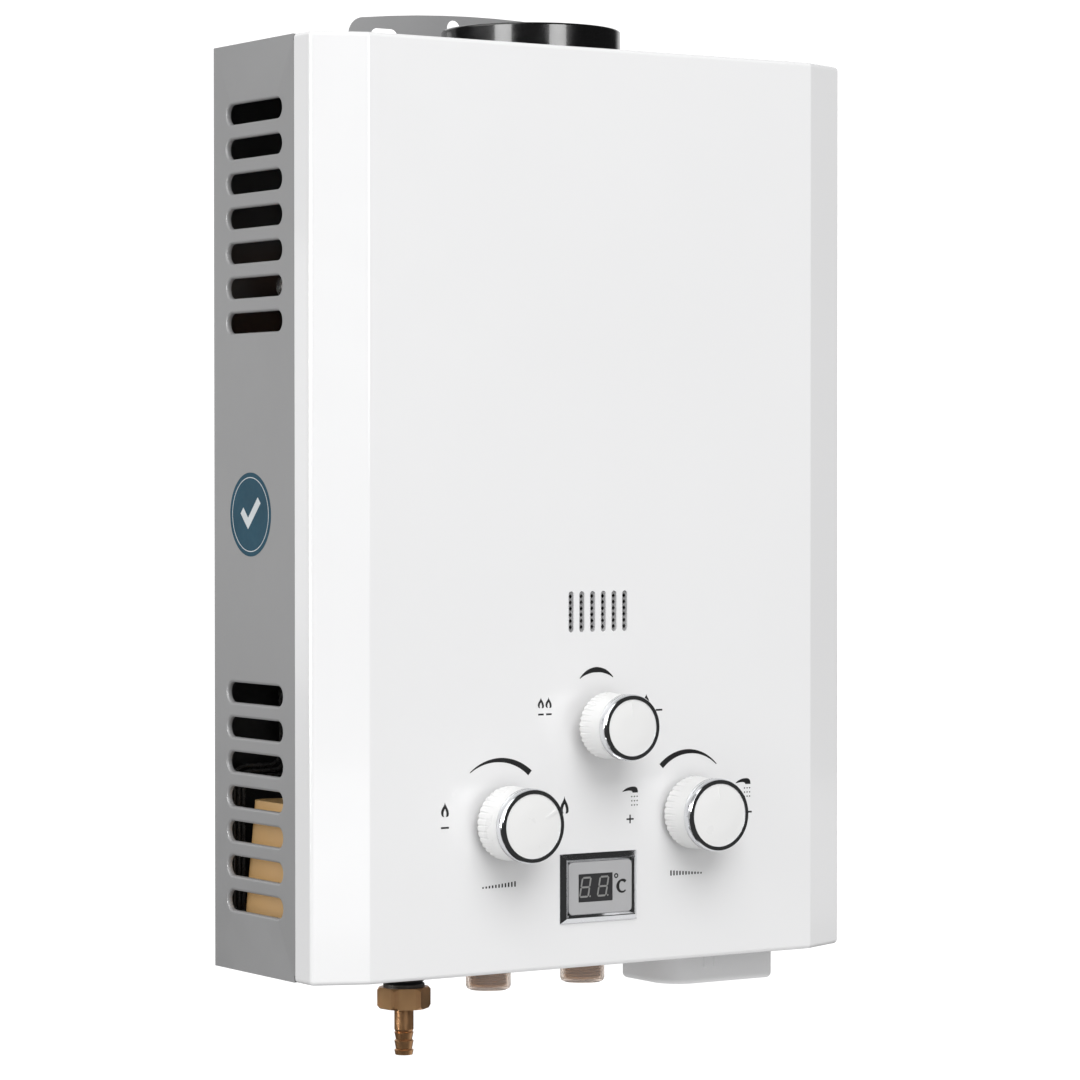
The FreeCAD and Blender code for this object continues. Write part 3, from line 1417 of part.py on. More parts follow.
def build():
    os.makedirs("parts", exist_ok=True)
    knobs = (
        ("gas", -knob_spacing / 2, lower_knob_height, lower_knob_radius, lower_knob_length, gas_knob_reach,
         front + valve_front - 12, gas_pointer_angle),
        ("season", 0, season_knob_height, season_knob_radius, season_knob_length, season_knob_reach,
         manifold_front() - 3, season_pointer_angle),
        ("water", knob_spacing / 2, lower_knob_height, lower_knob_radius, lower_knob_length, water_knob_reach,
         front + valve_front - 12, water_pointer_angle),
    )
    export("rear_shell", rear_shell())
    export("top_panel", top_panel())
    export("bottom_plate", bottom_plate())
    export("front_cover", front_cover())
    export("cover_screws", cover_screws())
    export("grille_mesh", grille_mesh())
    for name, x, z, radius, length, reach, seat, pointer in knobs:
        export(name + "_knob", knob_body(x, z, radius, length, reach, pointer))
        export(name + "_knob_ring", knob_ring(x, z, radius, reach))
        depth = 12 - spindle_depth if name == "season" else 0
        export(name + "_spindle", spindle(x, z, reach, seat + depth))
    panel, lens, board = display_pieces()
    export("display_bezel", display_bezel())
    export("display_panel", panel)
    export("display_lens", lens)
    export("display_board", board)
    export("flue_collar", flue_collar())
    export("draft_hood", draft_hood())
    export("exchanger_fins", exchanger_fins())
    export("exchanger_tube", exchanger_tube())
    export("combustion_chamber", chamber_ring(chamber_foot, chamber_foot + chamber_height, copper))
    export("overheat_switch", overheat_switch())
    export("burner_blades", burner_blades())
    export("burner_frame", burner_frame())
    export("gas_manifold", gas_manifold())
    export("gas_nozzles", gas_nozzles())
    export("ignition_electrode", electrode(1))
    export("flame_sensor", electrode(-1))
    export("burner_brackets", burner_brackets())
    export("gas_inlet", gas_inlet())
    export("union_nut", union_nut())
    export("hose_barb", hose_barb())
    export("gas_valve", gas_valve())
    export("solenoid", solenoid())
    export("cold_inlet", nipple(cold_x, valve_foot - 6.2))
    export("hot_outlet", nipple(hot_x, sheet + 6.2))
    export("inlet_cap", transit_cap(cold_x))
    export("outlet_cap", transit_cap(hot_x))
    export("water_valve", water_valve())
    export("diaphragm", diaphragm())
    export("diaphragm_cover", diaphragm_cover())
    export("diaphragm_screws", diaphragm_screws())
    export("linkage_rod", linkage_rod())
    export("switch_lever", switch_lever())
    export("microswitch", microswitch())
    export("cold_pipe", cold_pipe())
    export("hot_pipe", hot_pipe())
    export("outlet_sensor", outlet_sensor())
    export("igniter_box", igniter_box())
    export("ignition_lead", electrode_lead(0, 1))
    export("sensor_lead", electrode_lead(1, -1))
    export("solenoid_lead", solenoid_lead(2))
    export("battery_box", battery_box())
    export("battery_lid", battery_lid())
    export("battery_lid_pin", battery_lid_pin())
    export("battery_cells", battery_cells())
    export("battery_contacts", battery_contacts())
    print(len(piece_names), "pieces written")


build()
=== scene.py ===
import json
import math

import bpy
from mathutils import Matrix, Vector


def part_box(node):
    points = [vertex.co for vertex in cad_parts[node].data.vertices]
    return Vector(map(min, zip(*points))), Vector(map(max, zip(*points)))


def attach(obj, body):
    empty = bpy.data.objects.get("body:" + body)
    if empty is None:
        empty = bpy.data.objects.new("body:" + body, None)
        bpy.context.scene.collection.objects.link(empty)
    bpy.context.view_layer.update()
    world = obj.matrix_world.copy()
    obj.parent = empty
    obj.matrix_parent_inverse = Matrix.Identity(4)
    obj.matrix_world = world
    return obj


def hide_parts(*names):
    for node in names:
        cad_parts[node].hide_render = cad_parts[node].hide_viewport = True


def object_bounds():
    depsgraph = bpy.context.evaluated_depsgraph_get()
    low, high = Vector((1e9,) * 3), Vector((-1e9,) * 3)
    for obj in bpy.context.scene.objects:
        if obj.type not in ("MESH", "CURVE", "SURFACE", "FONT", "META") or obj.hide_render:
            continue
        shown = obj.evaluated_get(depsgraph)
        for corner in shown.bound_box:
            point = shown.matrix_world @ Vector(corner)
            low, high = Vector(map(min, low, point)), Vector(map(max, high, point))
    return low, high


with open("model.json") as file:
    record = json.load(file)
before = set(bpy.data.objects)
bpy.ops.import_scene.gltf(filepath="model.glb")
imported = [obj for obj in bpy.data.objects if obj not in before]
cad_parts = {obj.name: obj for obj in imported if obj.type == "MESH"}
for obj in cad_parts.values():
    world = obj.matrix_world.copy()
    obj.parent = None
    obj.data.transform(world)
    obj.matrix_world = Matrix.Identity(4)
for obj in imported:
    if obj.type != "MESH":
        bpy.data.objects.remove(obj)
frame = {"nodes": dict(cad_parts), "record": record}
cad_box = [list(corner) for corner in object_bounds()]

# Wall-hung propane water heater. Metres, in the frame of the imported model.
# Places on the casing are given in millimetres: x from its middle line and height from its lower edge.

MM = 0.001
CASING_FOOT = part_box("front_cover")[0].z
CASING_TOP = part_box("front_cover")[1].z
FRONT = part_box("front_cover")[0].y
LEFT_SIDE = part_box("rear_shell")[0].x
SHEET = 0.8 * MM
LIP_DEPTH = 2.0 * MM
PRINT_THICKNESS = 0.04 * MM
# Painted shade: the near-black colour given to the casing sheets' inner faces behind the vents
PAINTED_SHADE_COLOUR = (0.012, 0.012, 0.012)


def place(x, y, z):
    """A point from millimetres; z is counted from the casing's lower edge."""
    return Vector((x * MM, y * MM, CASING_FOOT + z * MM))


# Camera, from the photograph

CAMERA_PLACE = (-1.2069, -1.9185, -0.2544)
CAMERA_YAW = 33.033
CAMERA_PITCH = -0.974
CAMERA_ROLL = -0.024
CAMERA_LENS = 131.14
SENSOR = 36.0
FAR_CLIP = 50


def add_camera():
    yaw = math.radians(CAMERA_YAW)
    pitch = math.radians(CAMERA_PITCH)
    roll = math.radians(CAMERA_ROLL)
    level = math.cos(pitch)
    ahead = Vector((math.sin(yaw) * level, math.cos(yaw) * level, math.sin(pitch)))
    right = Vector((math.cos(yaw), -math.sin(yaw), 0))
    up = right.cross(ahead)
    side = right * math.cos(roll) + up * math.sin(roll)
    top = up * math.cos(roll) - right * math.sin(roll)
    data = bpy.data.cameras.new("camera")
    data.sensor_width = SENSOR
    data.lens = CAMERA_LENS
    data.clip_end = FAR_CLIP
    camera = bpy.data.objects.new("camera", data)
    turn = Matrix((side, top, -ahead)).transposed().to_4x4()
    camera.matrix_world = Matrix.Translation(CAMERA_PLACE) @ turn
    bpy.context.scene.collection.objects.link(camera)
    bpy.context.scene.camera = camera


# Studio

FLOOR_DROP = 0.09
FLOOR_SIZE = 14.0
# Soft lamps: direction, size in metres, light on a surface that faces it
LAMPS = {
    "key": ((-0.22, -0.74, 0.64), 4.2, 0.66),
    "left": ((-0.93, -0.12, 0.34), 2.6, 0.22),
}
LAMP_DISTANCE = 6.0
FILL_LEVEL = 0.50
FLOOR_FILL = 0.64
BACKGROUND_LEVEL = 1.15
MIRROR_LEVEL = 0.035
# What polished surfaces see: direction, half angle in degrees, brightness
MIRROR_PATCHES = (
    ((-0.75, 0.0, 0.66), 30, 2.0),
    ((0.3, 0.95, 0.1), 45, 0.9),
)
# A patch is whole up to the first share of its half angle and gone at the second
PATCH_EDGE = (0.8, 1.25)
MIRROR_FLOOR = 0.85
# The part of the floor that polished surfaces show bright: its middle, and where it starts and ends to fade
MIRROR_FLOOR_MIDDLE = (0.13, -0.06)
MIRROR_FLOOR_REACH = (0.11, 0.19)
# Tall lamps that show only in gloss: degrees from straight ahead to the left, degrees wide, brightness,
# height of their foot and head
STRIPS = (
    (68.0, 22.0, 8.5, 350, 1100),
    (-1.5, 22.0, 8.5, 350, 1100),
    (103.0, 7.0, 55.0, 20, 490),
    (138.0, 50.0, 0.65, 80, 480),
    (14.0, 34.0, 1.6, -420, 10),
    (112.0, 40.0, 0.20, -420, -10),
    (-70.0, 50.0, 0.40, -420, -10),
)
STRIP_DISTANCE = 1.5


def new_node(tree, kind, **inputs):
    """Adds a node and sets its inputs, where a name with underscores stands for one with spaces."""
    node = tree.nodes.new(kind)
    for name, value in inputs.items():
        node.inputs[name.replace("_", " ")].default_value = value
    return node


def math_node(tree, operation, first, second=None):
    node = tree.nodes.new("ShaderNodeMath")
    node.operation = operation
    for socket, value in zip(node.inputs, (first, second)):
        if value is None:
            continue
        if isinstance(value, (int, float)):
            socket.default_value = value
        else:
            tree.links.new(value, socket)
    return node.outputs[0]


def map_range(tree, value, low, high, to_low, to_high, smooth=False):
    node = tree.nodes.new("ShaderNodeMapRange")
    node.interpolation_type = "SMOOTHSTEP" if smooth else "LINEAR"
    tree.links.new(value, node.inputs["Value"])
    for name, number in zip(("From Min", "From Max", "To Min", "To Max"), (low, high, to_low, to_high)):
        node.inputs[name].default_value = number
    return node.outputs["Result"]


def mix(tree, kind, factor, first, second):
    """Goes from the first value to the second as the factor goes from 0 to 1; kind is FLOAT or RGBA."""
    node = tree.nodes.new("ShaderNodeMix")
    node.data_type = kind
    tree.links.new(factor, node.inputs["Factor"])
    for name, value in (("A", first), ("B", second)):
        if isinstance(value, bpy.types.NodeSocket):
            tree.links.new(value, node.inputs[name])
        else:
            node.inputs[name].default_value = value
    return node.outputs["Result"]


def level_by_ray(tree, fill, mirror):
    """Brightness of the surroundings: as light, as seen in gloss, and as seen straight or through glass."""
    rays = tree.nodes.new("ShaderNodeLightPath")
    level = mix(tree, "FLOAT", rays.outputs["Is Glossy Ray"], fill, mirror)
    direct = math_node(tree, "MAXIMUM", rays.outputs["Is Camera Ray"], rays.outputs["Is Transmission Ray"])
    return mix(tree, "FLOAT", direct, level, BACKGROUND_LEVEL)


def add_world():
    world = bpy.data.worlds.new("studio")
    bpy.context.scene.world = world
    world.use_nodes = True
    tree = world.node_tree
    tree.nodes.clear()
    direction = tree.nodes.new("ShaderNodeTexCoord").outputs["Generated"]
    mirror = MIRROR_LEVEL
    for way, half_angle, level in MIRROR_PATCHES:
        dot = tree.nodes.new("ShaderNodeVectorMath")
        dot.operation = "DOT_PRODUCT"
        tree.links.new(direction, dot.inputs[0])
        dot.inputs[1].default_value = Vector(way).normalized()
        whole, gone = (math.cos(math.radians(half_angle * share)) for share in PATCH_EDGE)
        patch = map_range(tree, dot.outputs["Value"], gone, whole, 0.0, level, True)
        mirror = math_node(tree, "ADD", patch, mirror)
    sky = new_node(tree, "ShaderNodeBackground", Color=(1, 1, 1, 1))
    tree.links.new(level_by_ray(tree, FILL_LEVEL, mirror), sky.inputs["Strength"])
    tree.links.new(sky.outputs[0], tree.nodes.new("ShaderNodeOutputWorld").inputs["Surface"])


def area_lamp(name, size, power, spot, way, hidden_from):
    """A lamp at a spot that shines against the way out to it, unseen by the named kinds of ray."""
    data = bpy.data.lights.new(name, "AREA")
    data.shape = "RECTANGLE"
    data.size, data.size_y = size
    data.energy = power
    light = bpy.data.objects.new(name, data)
    light.location = spot
    light.rotation_mode = "QUATERNION"
    light.rotation_quaternion = (-way).to_track_quat("-Z", "Y")
    for kind in hidden_from:
        setattr(light, "visible_" + kind, False)
    bpy.context.scene.collection.objects.link(light)


def add_lamps():
    target = place(0, -60, 250)
    for name, (direction, size, level) in LAMPS.items():
        way = Vector(direction).normalized()
        power = level * (math.pi * LAMP_DISTANCE) ** 2
        area_lamp(name, (size, size), power, target + way * LAMP_DISTANCE, way, ("glossy", "camera"))


def add_strips():
    """Upright lamps round the flue that show only in glossy surfaces."""
    low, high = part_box("flue_collar")
    for i, (angle, wide, level, foot, head) in enumerate(STRIPS):
        size = (2 * STRIP_DISTANCE * math.tan(math.radians(wide / 2)), (head - foot) * MM)
        way = Vector((-math.sin(math.radians(angle)), -math.cos(math.radians(angle)), 0))
        spot = (low + high) / 2 + way * STRIP_DISTANCE
        spot.z = place(0, 0, (foot + head) / 2).z
        power = level * math.pi * size[0] * size[1]
        area_lamp("strip_%d" % i, size, power, spot, way, ("camera", "diffuse", "transmission"))


def add_floor():
    height = cad_box[0][2] - FLOOR_DROP
    half = FLOOR_SIZE / 2
    corners = [(x * half, y * half, height) for x, y in ((-1, -1), (1, -1), (1, 1), (-1, 1))]
    mesh = bpy.data.meshes.new("floor")
    mesh.from_pydata(corners, [], [(0, 1, 2, 3)])
    floor = bpy.data.objects.new("floor", mesh)
    bpy.context.scene.collection.objects.link(floor)
    material = bpy.data.materials.new("floor_white")
    material.use_nodes = True
    tree = material.node_tree
    tree.nodes.clear()
    apart = tree.nodes.new("ShaderNodeVectorMath")
    apart.operation = "DISTANCE"
    tree.links.new(tree.nodes.new("ShaderNodeTexCoord").outputs["Object"], apart.inputs[0])
    apart.inputs[1].default_value = (*MIRROR_FLOOR_MIDDLE, height)
    near, far = MIRROR_FLOOR_REACH
    mirror = map_range(tree, apart.outputs["Value"], near, far, MIRROR_FLOOR, MIRROR_LEVEL, True)
    glow = new_node(tree, "ShaderNodeEmission", Color=(1, 1, 1, 1))
    tree.links.new(level_by_ray(tree, FLOOR_FILL, mirror), glow.inputs["Strength"])
    tree.links.new(glow.outputs[0], tree.nodes.new("ShaderNodeOutputMaterial").inputs["Surface"])
    mesh.materials.append(material)


# Materials

def start_material(name):
    material = bpy.data.materials.new(name)
    material.use_nodes = True
    tree = material.node_tree
    return material, tree, tree.nodes["Principled BSDF"]


def coordinates(tree, scale=(1, 1, 1)):
    where = tree.nodes.new("ShaderNodeTexCoord").outputs["Object"]
    mapping = new_node(tree, "ShaderNodeMapping", Scale=scale)
    tree.links.new(where, mapping.inputs["Vector"])
    return mapping.outputs["Vector"]


def noise(tree, scale, detail=2.0, stretch=(1, 1, 1)):
    node = new_node(tree, "ShaderNodeTexNoise", Scale=scale, Detail=detail)
    tree.links.new(coordinates(tree, stretch), node.inputs["Vector"])
    return node.outputs["Fac"]


def bump(tree, height, strength, distance, under=None):
    node = new_node(tree, "ShaderNodeBump", Strength=strength, Distance=distance)
    tree.links.new(height, node.inputs["Height"])
    if under is not None:
        tree.links.new(under, node.inputs["Normal"])
    return node.outputs["Normal"]


def opaque(colour, share=1.0):
    """A colour for a socket, darker or lighter by a share."""
    return (*(min(1.0, part * share) for part in colour), 1.0)


# Share of bright and dark patches in a noise
NOISE_RANGE = (0.3, 0.7)
EDGE_RANGE = (0.52, 0.60)
GRAIN_DISTANCE = 0.0003
COAT_ROUGHNESS = 0.06


def finish(name, colour, metallic=0.0, roughness=(0.3, 0.4), grain=900, grain_depth=0.02, mottle=0.03,
           patch_scale=30, coat=0.0, stretch=(1, 1, 1), edge=0.0, edge_colour=None, specular=0.5):
    """A procedural surface: mottled colour, uneven roughness, fine grain and optional worn edges."""
    material, tree, shader = start_material(name)
    patches = map_range(tree, noise(tree, patch_scale, 3.0), *NOISE_RANGE, 0, 1)
    base = mix(tree, "RGBA", patches, opaque(colour, 1 - mottle), opaque(colour, 1 + mottle))
    if edge:
        sharp = tree.nodes.new("ShaderNodeNewGeometry").outputs["Pointiness"]
        worn = map_range(tree, sharp, *EDGE_RANGE, 0, edge)
        base = mix(tree, "RGBA", worn, base, opaque(edge_colour) if edge_colour else opaque(colour, 1.4))
    tree.links.new(base, shader.inputs["Base Color"])
    shader.inputs["Metallic"].default_value = metallic
    shader.inputs["Specular IOR Level"].default_value = specular
    spots = noise(tree, patch_scale * 6, 4.0, stretch)
    tree.links.new(map_range(tree, spots, *NOISE_RANGE, *roughness), shader.inputs["Roughness"])
    if coat:
        shader.inputs["Coat Weight"].default_value = coat
        shader.inputs["Coat Roughness"].default_value = COAT_ROUGHNESS
    fine = noise(tree, grain, 2.0, stretch)
    tree.links.new(bump(tree, fine, grain_depth, GRAIN_DISTANCE), shader.inputs["Normal"])
    return material


PLAIN_FINISHES = {
    "white_enamel": dict(colour=(0.88, 0.88, 0.885), roughness=(0.16, 0.24), grain=420, grain_depth=0.015,
                         mottle=0.008, patch_scale=6, coat=0.4),
    "black_enamel": dict(colour=(0.0035, 0.0035, 0.0038), roughness=(0.16, 0.24), grain=500,
                         grain_depth=0.03, mottle=0.15, patch_scale=20, coat=0.6, edge=0.2,
                         edge_colour=(0.04, 0.04, 0.04)),
    "box_plastic": dict(colour=(0.90, 0.90, 0.905), roughness=(0.30, 0.40), grain=2600, grain_depth=0.05,
                        mottle=0.01, patch_scale=18),
    "chrome": dict(colour=(0.78, 0.79, 0.81), metallic=1.0, roughness=(0.06, 0.12), grain=700,
                   grain_depth=0.01, mottle=0.02, patch_scale=60),
    "steel": dict(colour=(0.52, 0.53, 0.54), metallic=1.0, roughness=(0.30, 0.45), grain=600,
                  grain_depth=0.08, mottle=0.10, patch_scale=40, stretch=(1, 1, 12), edge=0.3),
    "mesh_steel": dict(colour=(0.33, 0.33, 0.335), metallic=0.2, roughness=(0.35, 0.5), grain=900,
                       grain_depth=0.08, mottle=0.15, patch_scale=80),
    "copper": dict(colour=(0.66, 0.34, 0.20), metallic=1.0, roughness=(0.25, 0.45), grain=500,
                   grain_depth=0.05, mottle=0.22, patch_scale=22, edge=0.3, edge_colour=(0.85, 0.52, 0.34)),
    "tinned_copper": dict(colour=(0.80, 0.79, 0.77), metallic=1.0, roughness=(0.18, 0.32), grain=400,
                          grain_depth=0.06, mottle=0.12, patch_scale=30, edge=0.2,
                          edge_colour=(0.78, 0.60, 0.48)),
    # Copper painted near black: painted shade on the combustion chamber inside the casing
    "shade_dark_copper": dict(colour=(0.075, 0.040, 0.026), metallic=0.8, roughness=(0.45, 0.6), grain=500,
                         grain_depth=0.08, mottle=0.3, patch_scale=22),
    "cast_brass": dict(colour=(0.42, 0.27, 0.12), metallic=1.0, roughness=(0.42, 0.6), grain=700,
                       grain_depth=0.25, mottle=0.15, patch_scale=50, edge=0.4,
                       edge_colour=(0.66, 0.48, 0.24)),
    "cast_alloy": dict(colour=(0.48, 0.48, 0.49), metallic=0.9, roughness=(0.45, 0.6), grain=800,
                       grain_depth=0.25, mottle=0.08, patch_scale=40, edge=0.35),
    "hood_sheet": dict(colour=(0.50, 0.51, 0.52), metallic=1.0, roughness=(0.38, 0.5), grain=260,
                       grain_depth=0.08, mottle=0.12, patch_scale=16),
    "black_fitting": dict(colour=(0.018, 0.018, 0.019), metallic=0.3, roughness=(0.35, 0.5), grain=900,
                          grain_depth=0.12, mottle=0.2, patch_scale=60, edge=0.5,
                          edge_colour=(0.16, 0.14, 0.12)),
    "panel_plastic": dict(colour=(0.55, 0.55, 0.56), metallic=0.25, roughness=(0.38, 0.48), grain=3000,
                          grain_depth=0.06, mottle=0.02, patch_scale=30),
    "lens_plastic": dict(colour=(0.042, 0.042, 0.044), roughness=(0.14, 0.22), grain=600, grain_depth=0.01,
                         mottle=0.1, patch_scale=40, coat=0.3),
    "tan_plastic": dict(colour=(0.80, 0.49, 0.20), roughness=(0.40, 0.5), grain=1500, grain_depth=0.06,
                        mottle=0.05, patch_scale=24, edge=0.3, edge_colour=(0.95, 0.68, 0.36)),
    "black_plastic": dict(colour=(0.02, 0.02, 0.02), roughness=(0.38, 0.5), grain=1800, grain_depth=0.08,
                          mottle=0.1, patch_scale=40),
    "ceramic": dict(colour=(0.78, 0.75, 0.68), roughness=(0.12, 0.25), grain=300, grain_depth=0.03,
                    mottle=0.04, patch_scale=50, coat=0.5),
    "rubber": dict(colour=(0.025, 0.025, 0.025), roughness=(0.65, 0.8), grain=1600, grain_depth=0.2,
                   mottle=0.2, patch_scale=60, specular=0.3),
    "cell_wrap": dict(colour=(0.06, 0.06, 0.07), roughness=(0.22, 0.32), grain=300, grain_depth=0.03,
                      mottle=0.1, patch_scale=30, edge=0.3),
    "lead_sleeve": dict(colour=(0.035, 0.034, 0.033), roughness=(0.22, 0.32), grain=1200, grain_depth=0.06,
                        mottle=0.08, patch_scale=60),
    "print_ink": dict(colour=(0.012, 0.012, 0.013), roughness=(0.35, 0.45), grain=2500, grain_depth=0.05,
                      mottle=0.1, patch_scale=200),
    "digit_grey": dict(colour=(0.26, 0.26, 0.255), roughness=(0.35, 0.45), grain=2500, grain_depth=0.05,
                       mottle=0.08, patch_scale=200),
    "sticker_film": dict(colour=(0.014, 0.066, 0.104), roughness=(0.50, 0.60), grain=500, grain_depth=0.05,
                         mottle=0.10, patch_scale=40, specular=0.15),
    "sticker_print": dict(colour=(0.62, 0.66, 0.68), roughness=(0.35, 0.45), grain=900, grain_depth=0.04,
                          mottle=0.05, patch_scale=90),
}
# How far before and behind the lips' inner end the painted shade on the sheets' inner faces fades
PAINTED_SHADE_FADE = (1.6 * MM, 0.4 * MM)


def grey_enamel():
    """Grey paint with painted shade: near black on the sheets' inner faces behind the vents."""
    material = finish("grey_enamel", (0.290, 0.290, 0.293), roughness=(0.38, 0.46), grain=1400,
                      grain_depth=0.10, mottle=0.02, patch_scale=9, edge=0.25, edge_colour=(0.46, 0.46, 0.47))
    tree = material.node_tree
    colour = tree.nodes["Principled BSDF"].inputs["Base Color"]
    paint = colour.links[0].from_socket
    where = tree.nodes.new("ShaderNodeSeparateXYZ")
    tree.links.new(tree.nodes.new("ShaderNodeTexCoord").outputs["Object"], where.inputs[0])
    across = math_node(tree, "ABSOLUTE", where.outputs["X"])
    lip_end = -LEFT_SIDE - LIP_DEPTH
    # Painted shade mask: 1 on the inner faces behind the lips, fading out at the lips' inner end
    inside = map_range(tree, across, lip_end - PAINTED_SHADE_FADE[0], lip_end + PAINTED_SHADE_FADE[1], 1, 0, True)
    before_wall = math_node(tree, "LESS_THAN", where.outputs["Y"], -SHEET / 2)
    over_foot = math_node(tree, "GREATER_THAN", where.outputs["Z"], CASING_FOOT + 2 * SHEET)
    under_top = math_node(tree, "LESS_THAN", where.outputs["Z"], CASING_TOP - 2 * SHEET)
    for part in (before_wall, over_foot, under_top):
        inside = math_node(tree, "MULTIPLY", inside, part)
    tree.links.new(mix(tree, "RGBA", inside, paint, opaque(PAINTED_SHADE_COLOUR)), colour)
    return material


def white_plastic():
    material = finish("white_plastic", (0.86, 0.86, 0.855), roughness=(0.27, 0.30), grain=2400,
                      grain_depth=0.02, mottle=0.003, patch_scale=9, coat=0.10)
    shader = material.node_tree.nodes["Principled BSDF"]
    shader.inputs["Subsurface Weight"].default_value = 0.06
    shader.inputs["Subsurface Radius"].default_value = (0.002, 0.002, 0.002)
    return material


def brass():
    """Turned brass with fine grooves and a lighter edge."""
    material, tree, shader = start_material("brass")
    age = map_range(tree, noise(tree, 70, 4.0), 0.35, 0.7, 0, 1)
    base = mix(tree, "RGBA", age, opaque((0.56, 0.31, 0.15)), opaque((0.46, 0.24, 0.11)))
    sharp = tree.nodes.new("ShaderNodeNewGeometry").outputs["Pointiness"]
    worn = map_range(tree, sharp, 0.53, 0.62, 0, 0.4)
    tree.links.new(mix(tree, "RGBA", worn, base, opaque((0.70, 0.43, 0.21))), shader.inputs["Base Color"])
    shader.inputs["Metallic"].default_value = 0.85
    spots = map_range(tree, noise(tree, 300, 3.0), *NOISE_RANGE, 0.28, 0.42)
    tree.links.new(spots, shader.inputs["Roughness"])
    turning = noise(tree, 60, 2.0, (1, 1, 60))
    rough = bump(tree, noise(tree, 900, 3.0), 0.05, 0.0002)
    tree.links.new(bump(tree, turning, 0.04, 0.0002, rough), shader.inputs["Normal"])
    return material


def clear_plastic():
    """The hazy, slightly brown plastic of the transit caps."""
    material, tree, shader = start_material("clear_plastic")
    haze = map_range(tree, noise(tree, 60, 3.0), *NOISE_RANGE, 0, 1)
    base = mix(tree, "RGBA", haze, opaque((0.80, 0.69, 0.62)), opaque((0.87, 0.78, 0.71)))
    tree.links.new(base, shader.inputs["Base Color"])
    spots = map_range(tree, noise(tree, 160, 3.0), *NOISE_RANGE, 0.10, 0.24)
    tree.links.new(spots, shader.inputs["Roughness"])
    shader.inputs["Transmission Weight"].default_value = 0.78
    shader.inputs["IOR"].default_value = 1.14
    tree.links.new(bump(tree, noise(tree, 220, 2.0), 0.10, 0.0004), shader.inputs["Normal"])
    return material


def board():
    """A circuit board with faint tracks."""
    material, tree, shader = start_material("board")
    tracks = new_node(tree, "ShaderNodeTexBrick", Scale=240.0)
    tracks.inputs["Color1"].default_value = (0.02, 0.14, 0.05, 1)
    tracks.inputs["Color2"].default_value = (0.025, 0.17, 0.06, 1)
    tracks.inputs["Mortar"].default_value = (0.06, 0.26, 0.10, 1)
    tracks.inputs["Mortar Size"].default_value = 0.04
    tree.links.new(coordinates(tree), tracks.inputs["Vector"])
    tree.links.new(tracks.outputs["Color"], shader.inputs["Base Color"])
    tree.links.new(map_range(tree, noise(tree, 200), *NOISE_RANGE, 0.3, 0.45), shader.inputs["Roughness"])
    tree.links.new(bump(tree, tracks.outputs["Fac"], 0.2, 0.0001), shader.inputs["Normal"])
    return material


# Pieces whose finish differs from the rest of their slot
# The combustion chamber takes the near-black copper of painted shade
OWN_FINISHES = {"exchanger_tube": "tinned_copper", "combustion_chamber": "shade_dark_copper"}


def make_finishes():
    made = {name: finish(name, **values) for name, values in PLAIN_FINISHES.items()}
    for maker in (grey_enamel, white_plastic, brass, clear_plastic, board):
        made[maker.__name__] = maker()
    return made


def dress_nodes(made):
    """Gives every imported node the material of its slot."""
    slots = {row["node"]: row["material_slot"] for row in frame["record"]["subparts"]}
    for name, node in frame["nodes"].items():
        for held in node.material_slots:
            held.material = made[OWN_FINISHES.get(name, slots[name])]


# Thin plates: printed marks, the display and the sticker

def flat_piece(name, loops, material, body, turn, origin, thickness=PRINT_THICKNESS):
    """Closed outlines in millimetres, the inner ones holes, made a thin plate; turn sets its plane."""
    curve = bpy.data.curves.new(name, "CURVE")
    curve.dimensions = "2D"
    curve.fill_mode = "BOTH"
    curve.extrude = thickness / 2
    for loop in loops:
        spline = curve.splines.new("POLY")
        spline.points.add(len(loop) - 1)
        for point, (u, v) in zip(spline.points, loop):
            point.co = (u * MM, v * MM, 0, 1)
        spline.use_cyclic_u = True
    drawn = bpy.data.objects.new(name + "_outline", curve)
    bpy.context.scene.collection.objects.link(drawn)
    bpy.context.view_layer.update()
    mesh = bpy.data.meshes.new_from_object(drawn.evaluated_get(bpy.context.evaluated_depsgraph_get()))
    mesh.name = name
    bpy.data.objects.remove(drawn)
    mesh.materials.clear()
    mesh.materials.append(material)
    piece = bpy.data.objects.new(name, mesh)
    piece.matrix_world = Matrix.Translation(origin) @ turn
    bpy.context.scene.collection.objects.link(piece)
    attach(piece, body)
    return piece


FACING_FRONT = Matrix.Rotation(math.radians(90), 4, "X")
FACING_LEFT = Matrix.Rotation(math.radians(-90), 4, "Z") @ Matrix.Rotation(math.radians(90), 4, "X")


def front_plate(name, loops, material, face, thickness=PRINT_THICKNESS):
    """A plate on the casing that looks to the front; face is the depth of its front side."""
    origin = Vector((0, face + thickness / 2, CASING_FOOT))
    return flat_piece(name, loops, material, "casing", FACING_FRONT, origin, thickness)


def rounded_box(x0, x1, z0, z1, radius, steps=8):
    points = []
    left, right, low, high = x0 + radius, x1 - radius, z0 + radius, z1 - radius
    corners = ((right, high, 0), (left, high, 90), (left, low, 180), (right, low, 270))
    for x, z, first in corners:
        for i in range(steps + 1):
            angle = math.radians(first + 90 * i / steps)
            points.append((x + radius * math.cos(angle), z + radius * math.sin(angle)))
    return points


def box_loop(x, z, wide, high):
    return [(x - wide / 2, z - high / 2), (x + wide / 2, z - high / 2), (x + wide / 2, z + high / 2),
            (x - wide / 2, z + high / 2)]


def circle_through(a, b, c):
    """Centre and radius of the circle through three points."""
    (ax, az), (bx, bz), (cx, cz) = a, b, c
    d = 2 * (ax * (bz - cz) + bx * (cz - az) + cx * (az - bz))
    sa, sb, sc = ax * ax + az * az, bx * bx + bz * bz, cx * cx + cz * cz
    x = (sa * (bz - cz) + sb * (cz - az) + sc * (az - bz)) / d
    z = (sa * (cx - bx) + sb * (ax - cx) + sc * (bx - ax)) / d
    return (x, z), math.hypot(ax - x, az - z)


